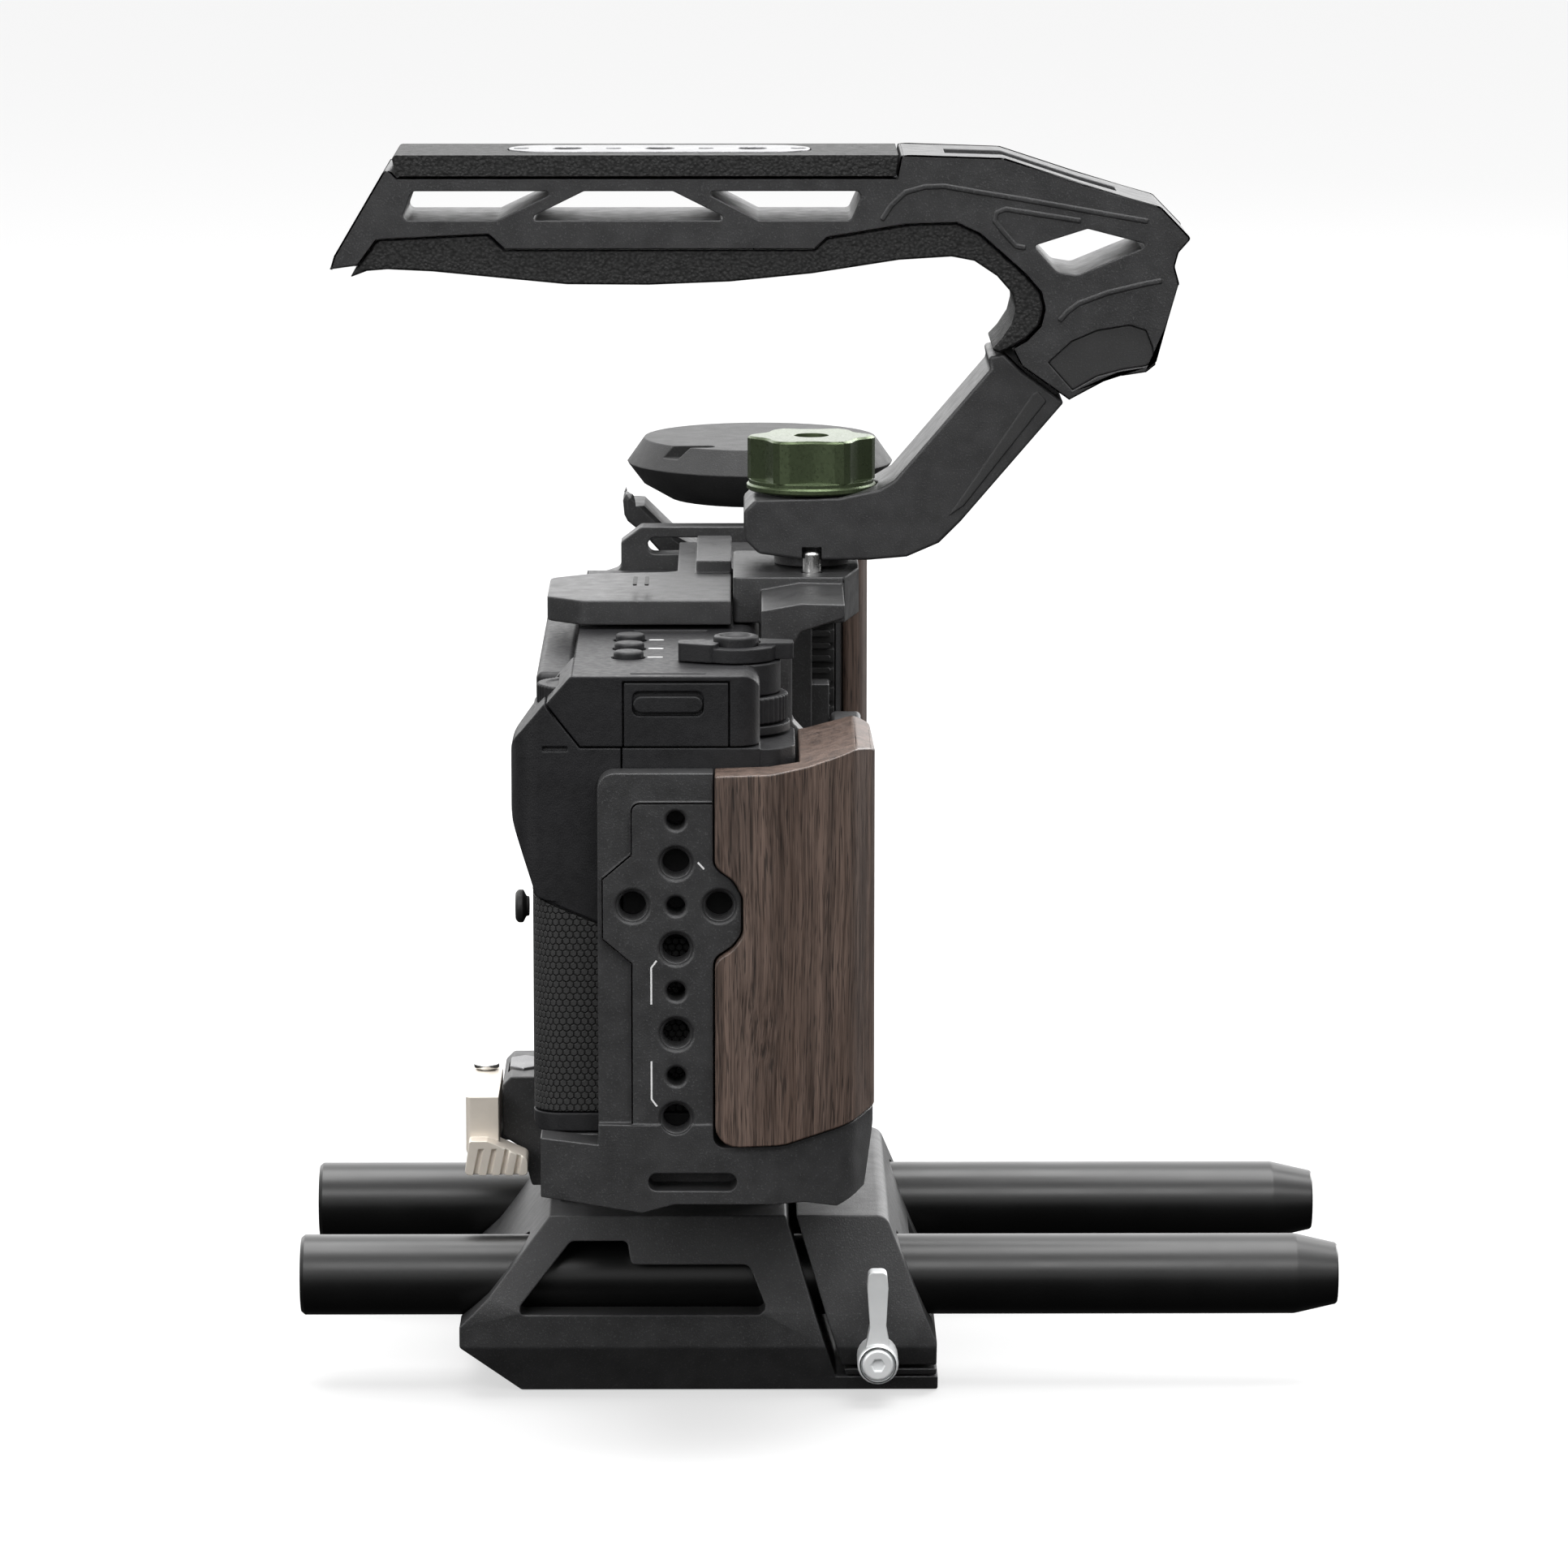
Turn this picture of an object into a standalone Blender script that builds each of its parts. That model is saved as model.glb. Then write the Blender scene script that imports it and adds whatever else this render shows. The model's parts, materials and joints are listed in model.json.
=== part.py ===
"""Cinema camera rig: camera in a cage, on a 15 mm rod base, with a top handle and a side handle.

Frame: +X to the lens side (front), +Y to the operator's left, +Z up.
The origin is on the flat underside of the base, midway between the two rods.
Lengths are in millimetres here, and the helpers turn them into Blender's metres.
"""
import math

import bmesh
import bpy
from mathutils import Matrix, Vector

MM = 0.001
GAP = 0.3                 # between pieces that touch
RUN = 0.4                 # round a piece that moves
ARC_STEPS = 5             # straight pieces in a rounded corner

# ---- rods and base -------------------------------------------------------------------
ROD_RADIUS = 7.5
ROD_PITCH = 60.0
ROD_LENGTH = 193.6
ROD_REAR = -82.2
ROD_HEIGHT = 20.2
ROD_TAPER = 7.8
ROD_TIP_RADIUS = 5.75
BASE_REAR = -52.3
BASE_FRONT = 36.6
BASE_HALF_WIDTH = 43.0
BASE_FOOT_HALF_WIDTH = 38.0
DECK_WALL = 5.5           # metal over the rods
DECK_TOP = ROD_HEIGHT + ROD_RADIUS + DECK_WALL
SIDE_BAND_LOW = 9.3
SIDE_BAND_HIGH = 16.0
DECK_HALF_WIDTH = 37.5
CLAMP_FOOT = 2.9          # height of the base's step under the clamp
CLAMP_SLIT = 1.9          # gap between base and clamp
LEVER_X = 25.2
LEVER_Z = 8.1
LEVER_LENGTH = 17.4
LEVER_HUB_RADIUS = 3.8

# ---- quick release -------------------------------------------------------------------
PLATE_THICKNESS = 9.3
PLATE_HALF_WIDTH = 17.0
DOVETAIL = 2.0
RECEIVER_HALF_WIDTH = 26.0
RECEIVER_FLOOR = 4.5
BLOCK_REAR = -45.0
BLOCK_FRONT = -37.4
BLOCK_RIGHT = -14.0
BLOCK_LEFT = 10.0
QR_PIVOT_X = -48.6
QR_PIVOT_Y = 5.0

# ---- camera --------------------------------------------------------------------------
CAMERA_BOTTOM = 58.8
CAMERA_HEIGHT = 82.4
CAMERA_TOP = CAMERA_BOTTOM + CAMERA_HEIGHT
CAMERA_RIGHT = -80.0
CAMERA_LEFT = 54.0
CAMERA_FRONT = 3.4
GRIP_FRONT = 9.7
SHELL_SPLIT = -21.0       # seam between the front shell and the rear cover
CAMERA_REAR = -37.2
THUMB_REAR = -40.9
TOP_COVER_HEIGHT = 12.6
LENS_AXIS_Z = CAMERA_BOTTOM + CAMERA_HEIGHT / 2
MOUNT_RADIUS = 33.0
THROAT_RADIUS = 27.0
FLANGE_X = 9.2
FLANGE_TO_SENSOR = 16.0
SCREEN_FRONT = -30.3
SCREEN_REAR = -36.9
SCREEN_RIGHT = -56.0
SCREEN_LEFT = 42.0
STACK_X = -0.8            # axis of shutter button, switch and front dial
STACK_Y = -60.0
FRONT_DIAL_RADIUS = 9.4
SHUTTER_RADIUS = 4.1
BUTTON_RADIUS = 2.7
BUTTON_X = -20.2
BUTTON_Y = (-36.9, -47.2, -57.5)
REAR_DIAL_RADIUS = 7.0
REAR_DIAL_X = -29.6
REAR_DIAL_Y = -66.0
BATTERY_SIZE = (20.5, 40.0, 56.0)

# ---- cage ----------------------------------------------------------------------------
WALL_THICKNESS = 7.1
WALL_OUTER = CAMERA_RIGHT - 0.9 - WALL_THICKNESS
BOSS_RISE = 1.5           # the wall's boss stands this far proud
HOLE_X = -11.5
HOLE_PITCH = 7.7
LARGE_HOLE_RADIUS = 2.85
SMALL_HOLE_RADIUS = 1.65
HOLE_STEPS = 28
WOOD_FRONT = 24.0
WOOD_OUTER = WALL_OUTER - 1.6
WOOD_INNER = -45.0
BLOCK_TOP = CAMERA_TOP + 8.9
TOP_PLATE_LOW = CAMERA_TOP + 0.8
TOP_PLATE_HIGH = CAMERA_TOP + 5.4

# ---- handles -------------------------------------------------------------------------
HANDLE_FOOT = BLOCK_TOP + 2.3
HANDLE_HALF_WIDTH = 14.0
NECK_HALF_WIDTH = 12.0
KNOB_X = 13.3
KNOB_RADIUS = 11.95
KNOB_HEIGHT = 10.0
KNOB_LOBES = 6
BOLT_RADIUS = 3.0
SIDE_HANDLE_Y = CAMERA_LEFT + 31.0
SIDE_CAP_RADIUS = 26.5
SIDE_KNOB_RADIUS = 6.5

parts = None
cutters = None


# ---- helpers -------------------------------------------------------------------------
def collection(name):
    """A collection of this name in the scene."""
    made = bpy.data.collections.new(name)
    bpy.context.scene.collection.children.link(made)
    return made


def place(name, mesh, group):
    """A new object of this mesh in a group."""
    obj = bpy.data.objects.new(name, mesh)
    group.objects.link(obj)
    if group is cutters:
        obj.hide_render = True
        obj.display_type = 'WIRE'
    return obj


def finish(name, colour, roughness, metallic):
    """A Principled material."""
    material = bpy.data.materials.get(name)
    if material is None:
        material = bpy.data.materials.new(name)
        material.use_nodes = True
        shader = material.node_tree.nodes['Principled BSDF']
        shader.inputs['Base Color'].default_value = (*colour, 1.0)
        shader.inputs['Roughness'].default_value = roughness
        shader.inputs['Metallic'].default_value = metallic
    return material


def anodised():
    return finish('black_anodised', (0.03, 0.03, 0.032), 0.45, 0.7)


def camera_skin():
    return finish('camera_black', (0.018, 0.018, 0.019), 0.55, 0.1)


def rubber():
    return finish('black_rubber', (0.012, 0.012, 0.012), 0.8, 0.0)


def walnut():
    return finish('walnut', (0.14, 0.09, 0.06), 0.5, 0.0)


def steel():
    return finish('bright_steel', (0.6, 0.6, 0.6), 0.25, 1.0)


def satin_lever():
    return finish('satin_silver', (0.4, 0.42, 0.44), 0.35, 0.9)


def champagne():
    return finish('champagne', (0.6, 0.55, 0.48), 0.4, 0.8)


def green():
    return finish('green_anodised', (0.05, 0.085, 0.03), 0.3, 0.9)


def dark_glass():
    return finish('dark_glass', (0.01, 0.01, 0.012), 0.1, 0.0)


def rounded(outline):
    """The outline with an arc at each point that carries a radius as its third number."""
    done = []
    count = len(outline)
    for index, point in enumerate(outline):
        corner = Vector(point[:2])
        if len(point) == 2:
            done.append(tuple(corner))
            continue
        back = Vector(outline[index - 1][:2]) - corner
        ahead = Vector(outline[(index + 1) % count][:2]) - corner
        half = back.angle(ahead) / 2
        reach = min(point[2] / math.tan(half), 0.48 * back.length, 0.48 * ahead.length)
        radius = reach * math.tan(half)
        middle = corner + (back.normalized() + ahead.normalized()).normalized() * (radius / math.sin(half))
        start = corner + back.normalized() * reach - middle
        end = corner + ahead.normalized() * reach - middle
        turn = start.angle_signed(end)
        for step in range(ARC_STEPS + 1):
            spoke = start.copy()
            spoke.rotate(Matrix.Rotation(-turn * step / ARC_STEPS, 2))
            done.append(tuple(middle + spoke))
    return done


def beside(line, distance):
    """The line moved to the right of its direction of travel."""
    done = []
    for index, point in enumerate(line):
        here = Vector(point[:2])
        before = Vector(line[max(index - 1, 0)][:2])
        after = Vector(line[min(index + 1, len(line) - 1)][:2])
        first = (here - before).normalized() if index else (after - here).normalized()
        second = (after - here).normalized() if index < len(line) - 1 else first
        across = (first + second).normalized()
        reach = distance / max(across.dot(first), 0.5)
        done.append((here.x + across.y * reach, here.y - across.x * reach))
    return done


def moved(outline, along, up):
    """The outline shifted in its own plane."""
    return [(point[0] + along, point[1] + up, *point[2:]) for point in outline]


TURNS = {
    'X': Matrix(((0, 0, 1), (1, 0, 0), (0, 1, 0))),
    'Y': Matrix(((1, 0, 0), (0, 0, -1), (0, 1, 0))),
    'Z': Matrix.Identity(3),
}


def prism(name, outline, axis, low, high, group=None):
    """A flat outline given a thickness along an axis, from low to high.

    Along Y the outline is (X, Z), along X it is (Y, Z), and along Z it is (X, Y).
    """
    curve = bpy.data.curves.new(name, 'CURVE')
    curve.dimensions = '2D'
    curve.fill_mode = 'BOTH'
    curve.extrude = (high - low) / 2 * MM
    points = rounded(outline)
    spline = curve.splines.new('POLY')
    spline.points.add(len(points) - 1)
    for target, (across, up) in zip(spline.points, points):
        target.co = (across * MM, up * MM, 0.0, 1.0)
    spline.use_cyclic_u = True
    guide = bpy.data.objects.new(name + '_outline', curve)
    cutters.objects.link(guide)
    turn = TURNS[axis].to_4x4()
    middle = Vector((0.0, 0.0, 0.0))
    middle['XYZ'.index(axis)] = (low + high) / 2 * MM
    guide.matrix_world = Matrix.Translation(middle) @ turn
    bpy.context.view_layer.update()
    solid = bpy.data.meshes.new_from_object(guide.evaluated_get(bpy.context.evaluated_depsgraph_get()))
    solid.name = name
    body = bmesh.new()
    body.from_mesh(solid)
    bmesh.ops.remove_doubles(body, verts=body.verts, dist=1e-6)
    bmesh.ops.recalc_face_normals(body, faces=body.faces)
    body.to_mesh(solid)
    body.free()
    obj = place(name, solid, group or parts)
    obj.matrix_world = guide.matrix_world
    bpy.data.objects.remove(guide)
    return obj


def box(name, low, high, group=None):
    """A block between two corners."""
    body = bmesh.new()
    bmesh.ops.create_cube(body, size=1.0)
    size = [(b - a) * MM for a, b in zip(low, high)]
    bmesh.ops.scale(body, vec=size, verts=body.verts)
    mesh = bpy.data.meshes.new(name)
    body.to_mesh(mesh)
    body.free()
    obj = place(name, mesh, group or parts)
    obj.location = [(a + b) / 2 * MM for a, b in zip(low, high)]
    return obj


AIM = {
    '+Z': Matrix.Identity(3),
    '+X': Matrix.Rotation(math.pi / 2, 3, 'Y'),
    '-Y': Matrix.Rotation(math.pi / 2, 3, 'X'),
    '+Y': Matrix.Rotation(-math.pi / 2, 3, 'X'),
}


def turned(name, profile, at, aim='+Z', steps=32, group=None):
    """A turned piece: its profile is (radius, height) from the top down to the bottom."""
    mesh = bpy.data.meshes.new(name)
    points = [(radius * MM, 0.0, height * MM) for radius, height in profile]
    mesh.from_pydata(points, [(i, i + 1) for i in range(len(points) - 1)], [])
    obj = place(name, mesh, group or parts)
    screw = obj.modifiers.new('turn', 'SCREW')
    screw.steps = steps
    screw.render_steps = steps
    screw.use_merge_vertices = True
    screw.merge_threshold = 0.00001
    screw.use_smooth_shade = False
    obj.matrix_world = Matrix.Translation(Vector(at) * MM) @ AIM[aim].to_4x4()
    return obj


def rod(name, radius, low, high, at, aim='+Z', steps=24, group=None, chamfer=0.0):
    """A round bar from low to high along its aim."""
    profile = [(0.0, high), (radius - chamfer, high)]
    if chamfer:
        profile += [(radius, high - chamfer), (radius, low + chamfer)]
    profile += [(radius - chamfer, low), (0.0, low)]
    return turned(name, profile, at, aim, steps, group)


def boolean(obj, other, operation):
    """Cut, join or intersect with another solid, which becomes a guide."""
    change = obj.modifiers.new(operation.lower(), 'BOOLEAN')
    change.operation = operation
    change.object = other
    change.solver = 'EXACT'
    if other.name in parts.objects:
        parts.objects.unlink(other)
        cutters.objects.link(other)
        other.hide_render = True
        other.display_type = 'WIRE'
    return obj


def cut(obj, *others):
    for other in others:
        boolean(obj, other, 'DIFFERENCE')
    return obj


def join(obj, *others):
    for other in others:
        boolean(obj, other, 'UNION')
    return obj


def common(obj, other):
    return boolean(obj, other, 'INTERSECT')


def soften(obj, width, segments=1, angle=40):
    """Rounded or chamfered edges."""
    bevel = obj.modifiers.new('edges', 'BEVEL')
    bevel.width = width * MM
    bevel.segments = segments
    bevel.limit_method = 'ANGLE'
    bevel.angle_limit = math.radians(angle)
    return obj


def coat(material, *objs):
    for obj in objs:
        obj.data.materials.clear()
        obj.data.materials.append(material)


def rod_bores(prefix):
    """The two rod holes, as cutters."""
    return [rod(prefix + side, ROD_RADIUS + GAP, BASE_REAR - 10, BASE_FRONT + 10, (0, y, ROD_HEIGHT),
                '+X', 32, cutters)
            for side, y in (('_bore_right', -ROD_PITCH / 2), ('_bore_left', ROD_PITCH / 2))]


# ---- base ----------------------------------------------------------------------------
def base_section(name, low, high):
    """The base's cross-section, undercut at its foot and leaning in above its band."""
    outline = [(-BASE_HALF_WIDTH, SIDE_BAND_LOW), (-BASE_HALF_WIDTH, SIDE_BAND_HIGH),
               (-DECK_HALF_WIDTH, DECK_TOP), (DECK_HALF_WIDTH, DECK_TOP),
               (BASE_HALF_WIDTH, SIDE_BAND_HIGH), (BASE_HALF_WIDTH, SIDE_BAND_LOW),
               (BASE_FOOT_HALF_WIDTH, 0.0), (-BASE_FOOT_HALF_WIDTH, 0.0)]
    return prism(name, outline, 'X', low, high, cutters)


def make_base():
    slope_top = 8.3
    slope_foot = 17.6
    side = [(BASE_REAR, SIDE_BAND_LOW), (-41.0, 0.0), (BASE_FRONT, 0.0), (BASE_FRONT, CLAMP_FOOT),
            (slope_foot, CLAMP_FOOT), (slope_top, DECK_TOP), (-35.6, DECK_TOP),
            (-46.9, ROD_HEIGHT - 1.5), (BASE_REAR, SIDE_BAND_LOW + 4)]
    base = prism('rod_base', side, 'Y', -BASE_HALF_WIDTH - 1, BASE_HALF_WIDTH + 1)
    common(base, base_section('base_section', BASE_REAR - 1, BASE_FRONT + 1))
    cut(base, *rod_bores('base'))
    window = [(-41.0, ROD_HEIGHT - 4.6, 1.0), (-40.9, ROD_HEIGHT - 3.0, 1.0), (-31.6, ROD_HEIGHT + 8.4, 1.5),
              (-21.2, ROD_HEIGHT + 8.4, 1.0), (-20.4, ROD_HEIGHT + 4.2, 1.0), (1.4, ROD_HEIGHT + 4.2, 1.5),
              (4.6, ROD_HEIGHT - 3.4, 1.0), (3.4, ROD_HEIGHT - 4.6, 1.0)]
    inner = ROD_PITCH / 2
    for label, low, high in (('right', -BASE_HALF_WIDTH - 5, -inner), ('left', inner, BASE_HALF_WIDTH + 5)):
        cut(base, prism('window_' + label, window, 'Y', low, high, cutters))
    hollow_high = ROD_HEIGHT + 2
    for label, side_sign in (('right', -1), ('left', 1)):
        low, high = sorted((side_sign * 10.0, side_sign * 20.0))
        cut(base, box('hollow_' + label, (-38, low, -1), (13, high, hollow_high), cutters))
    cut(base, rod('insert_seat', 6.0 + GAP, -1, 8 + GAP, (-20, 0, 0), '+Z', 24, cutters))
    insert = rod('tripod_insert', 6.0, GAP, 8.0, (-20, 0, 0))
    cut(insert, rod('insert_thread', 4.1, -1, 7.0, (-20, 0, 0), '+Z', 24, cutters))
    clamp_side = [(slope_top + CLAMP_SLIT, DECK_TOP), (27.0, DECK_TOP, 2.5), (BASE_FRONT - 0.3, 10.2),
                  (BASE_FRONT - 0.3, CLAMP_FOOT + GAP), (slope_foot + CLAMP_SLIT, CLAMP_FOOT + GAP)]
    clamp = prism('rod_clamp', clamp_side, 'Y', -BASE_HALF_WIDTH - 1, BASE_HALF_WIDTH + 1)
    common(clamp, base_section('clamp_section', 0, BASE_FRONT + 1))
    cut(clamp, *rod_bores('clamp'))
    cut(clamp, box('clamp_hollow', (0, -18, 0), (60, 18, ROD_HEIGHT), cutters))
    cut(clamp, box('clamp_saw_cut', (0, -BASE_HALF_WIDTH - 5, 4.6), (60, -ROD_PITCH / 2, 5.4), cutters))
    coat(anodised(), base, clamp)
    coat(steel(), insert)


def make_rods():
    front = ROD_REAR + ROD_LENGTH
    profile = [(0.0, front), (ROD_TIP_RADIUS, front), (ROD_RADIUS, front - ROD_TAPER),
               (ROD_RADIUS, ROD_REAR + 0.6), (ROD_RADIUS - 0.6, ROD_REAR), (0.0, ROD_REAR)]
    for name, y in (('rod_right', -ROD_PITCH / 2), ('rod_left', ROD_PITCH / 2)):
        tube = turned(name, profile, (0, y, ROD_HEIGHT), '+X', 32)
        coat(finish('rod_black', (0.008, 0.008, 0.009), 0.22, 0.4), tube)


def make_clamp_lever():
    inner = -BASE_HALF_WIDTH - GAP
    outer = inner - 8.0
    at = (LEVER_X, 0, LEVER_Z)
    lever = rod('clamp_lever', LEVER_HUB_RADIUS, -inner, -outer, at, '-Y', 24, chamfer=0.4)
    arm = [(-2.6, 1.0), (-1.5, 7.0), (-2.0, LEVER_LENGTH - 3.0), (-1.8, LEVER_LENGTH, 1.0),
           (1.6, LEVER_LENGTH, 1.0), (1.9, LEVER_LENGTH - 3.0), (1.5, 7.0), (2.6, 1.0)]
    join(lever, prism('lever_arm', moved(arm, LEVER_X, LEVER_Z), 'Y', outer + 0.6, outer + 4.2, cutters))
    screw_radius = 2.9
    cut(lever, rod('screw_counterbore', screw_radius + GAP, -outer - 1.2, -outer + 2, at, '-Y', 24, cutters),
        rod('screw_bore', 1.5 + GAP, -inner - 2, -outer + 2, at, '-Y', 20, cutters))
    head = -outer + 0.3
    screw = turned('clamp_lever_screw', [(0.0, head), (screw_radius - 0.3, head), (screw_radius, head - 0.3),
                                         (screw_radius, head - 1.2), (1.5, head - 1.2), (1.5, -inner),
                                         (0.0, -inner)], at, '-Y', 24)
    cut(screw, rod('screw_socket', 1.3, head - 0.8, head + 2, at, '-Y', 6, cutters))
    coat(satin_lever(), lever)
    coat(steel(), screw)


# ---- quick release -------------------------------------------------------------------
def make_quick_release():
    floor = DECK_TOP + GAP
    channel = floor + RECEIVER_FLOOR
    rim = channel + 5.0
    block_top = CAMERA_BOTTOM - 4.3
    body = prism('qr_receiver', [(-RECEIVER_HALF_WIDTH, floor), (RECEIVER_HALF_WIDTH, floor),
                                 (RECEIVER_HALF_WIDTH, rim - 3), (RECEIVER_HALF_WIDTH - 3, rim),
                                 (3 - RECEIVER_HALF_WIDTH, rim), (-RECEIVER_HALF_WIDTH, rim - 3)],
                 'X', -34.0, 7.8)
    rear = [(-33.8, floor), (-33.8, rim - 0.3), (BLOCK_FRONT, rim - 0.3), (BLOCK_FRONT, block_top),
            (BLOCK_REAR + 1.6, block_top), (BLOCK_REAR, block_top - 1.6), (BLOCK_REAR, rim),
            (-41.5, floor + 7.3), (-39.5, floor)]
    join(body, prism('lock_block', rear, 'Y', BLOCK_RIGHT, BLOCK_LEFT, cutters))
    wide = PLATE_HALF_WIDTH + DOVETAIL + GAP
    narrow = PLATE_HALF_WIDTH + GAP
    cut(body, prism('dovetail_channel', [(-wide, channel), (wide, channel), (narrow, rim + 0.01),
                                         (narrow, rim + 20), (-narrow, rim + 20), (-narrow, rim + 0.01)],
                    'X', -33.0, 30.0, cutters))
    pad_x = (BLOCK_REAR + BLOCK_FRONT) / 2
    pad_y = (BLOCK_RIGHT + BLOCK_LEFT) / 2
    pad = [(-2.6, -4.0), (0.0, -6.0), (2.6, -4.0), (2.6, 4.0), (0.0, 6.0), (-2.6, 4.0)]
    seat = [(x * (1 + RUN / 3), y * (1 + RUN / 5)) for x, y in pad]
    cut(body, prism('release_seat', moved(seat, pad_x, pad_y), 'Z', block_top - 4.2, block_top + 1, cutters))
    button = prism('qr_release_button', moved(pad, pad_x, pad_y), 'Z', block_top - 2.4, block_top + 0.4)
    plate_low = channel + GAP
    plate = prism('qr_plate', [(GAP - wide, plate_low), (wide - GAP, plate_low),
                               (PLATE_HALF_WIDTH, rim), (PLATE_HALF_WIDTH, plate_low + PLATE_THICKNESS),
                               (-PLATE_HALF_WIDTH, plate_low + PLATE_THICKNESS), (-PLATE_HALF_WIDTH, rim)],
                  'X', -32.6, 7.4)
    lever_low = rim - 1.8
    arm = [(QR_PIVOT_X - 3.1, BLOCK_RIGHT - 6.0, 1.0), (QR_PIVOT_X + 3.1, BLOCK_RIGHT - 6.0),
           (QR_PIVOT_X + 3.1, QR_PIVOT_Y + 2.8, 2.5), (QR_PIVOT_X - 3.1, QR_PIVOT_Y + 2.8, 2.5)]
    lever = prism('qr_lever', arm, 'Z', lever_low, block_top - 2.6)
    paddle = [(QR_PIVOT_X - 3.3, lever_low - 3.6, 0.8), (QR_PIVOT_X + 8.6, lever_low - 3.6, 0.8),
              (QR_PIVOT_X + 8.6, lever_low - 0.4, 1.2), (QR_PIVOT_X + 1.0, lever_low + 3.0, 0.8),
              (QR_PIVOT_X - 2.4, lever_low + 3.0, 0.6)]
    join(lever, prism('lever_paddle', paddle, 'Y', BLOCK_RIGHT - 9.5, BLOCK_RIGHT - 1.5, cutters))
    for index in range(4):
        start = QR_PIVOT_X - 1.8 + 2.5 * index
        rib = [(start, lever_low - 4.5), (start + 0.9, lever_low - 4.5), (start + 2.1, lever_low + 1.4),
               (start + 1.2, lever_low + 1.4)]
        cut(lever, prism(f'paddle_groove_{index}', rib, 'Y', BLOCK_RIGHT - 11, BLOCK_RIGHT - 8.7, cutters))
    pin_radius = 1.6
    at = (QR_PIVOT_X, QR_PIVOT_Y, 0)
    cut(lever, rod('lever_pin_bore', pin_radius + GAP, lever_low - 2, CAMERA_BOTTOM, at, '+Z', 16, cutters))
    post = [(QR_PIVOT_X - 2.6, QR_PIVOT_Y - 3, 1.5), (BLOCK_REAR + 4, QR_PIVOT_Y - 3),
            (BLOCK_REAR + 4, QR_PIVOT_Y + 3), (QR_PIVOT_X - 2.6, QR_PIVOT_Y + 3, 1.5)]
    join(body, prism('lever_bracket', post, 'Z', lever_low - 2.6, lever_low - RUN, cutters))
    cut(body, rod('bracket_pin_bore', pin_radius + GAP, lever_low - 6, lever_low, at, '+Z', 16, cutters))
    pin = turned('qr_lever_pin', [(0.0, block_top - 1.4), (2.4, block_top - 1.4),
                                  (2.4, block_top - 2.6 + GAP),
                                  (pin_radius, block_top - 2.6 + GAP), (pin_radius, lever_low - 2.6),
                                  (0.0, lever_low - 2.6)], at, '+Z', 16)
    coat(anodised(), body, plate)
    coat(champagne(), lever)
    coat(steel(), pin)
    coat(finish('grey_anodised', (0.2, 0.2, 0.21), 0.4, 0.8), button)
    return plate_low + PLATE_THICKNESS


# ---- cage ----------------------------------------------------------------------------
def wall_outline():
    """The right wall seen from outside: a post with a cross-shaped boss at its holes."""
    top = CAMERA_TOP - 16.3
    low = CAMERA_BOTTOM + 2.0
    centre = CAMERA_BOTTOM + 42.5
    return [(-25.4, low), (-25.4, top, 3.0), (-4.9, top), (-4.9, centre + 7.0, 2.5),
            (-1.6, centre + 4.6, 4.0), (0.1, centre + 1.8, 3.0), (0.1, centre - 5.0, 3.0),
            (-1.6, centre - 7.2, 4.0), (-4.9, centre - 9.4, 2.5), (-4.9, low)]


def grip_plan(outer, front, inner, wall):
    """The grip's plan: it runs along the camera's end and turns the corner to the front."""
    return [(-36.0, outer), (6.0, outer - 0.4, 4.0), (front - 4.5, outer + 5.0, 8.0),
            (front, outer + 16.0, 8.0),
            (front - 0.6, inner, 4.0), (GRIP_FRONT + GAP + 0.4, inner), (GRIP_FRONT + GAP + 0.4, wall),
            (-36.0, wall)]


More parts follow.
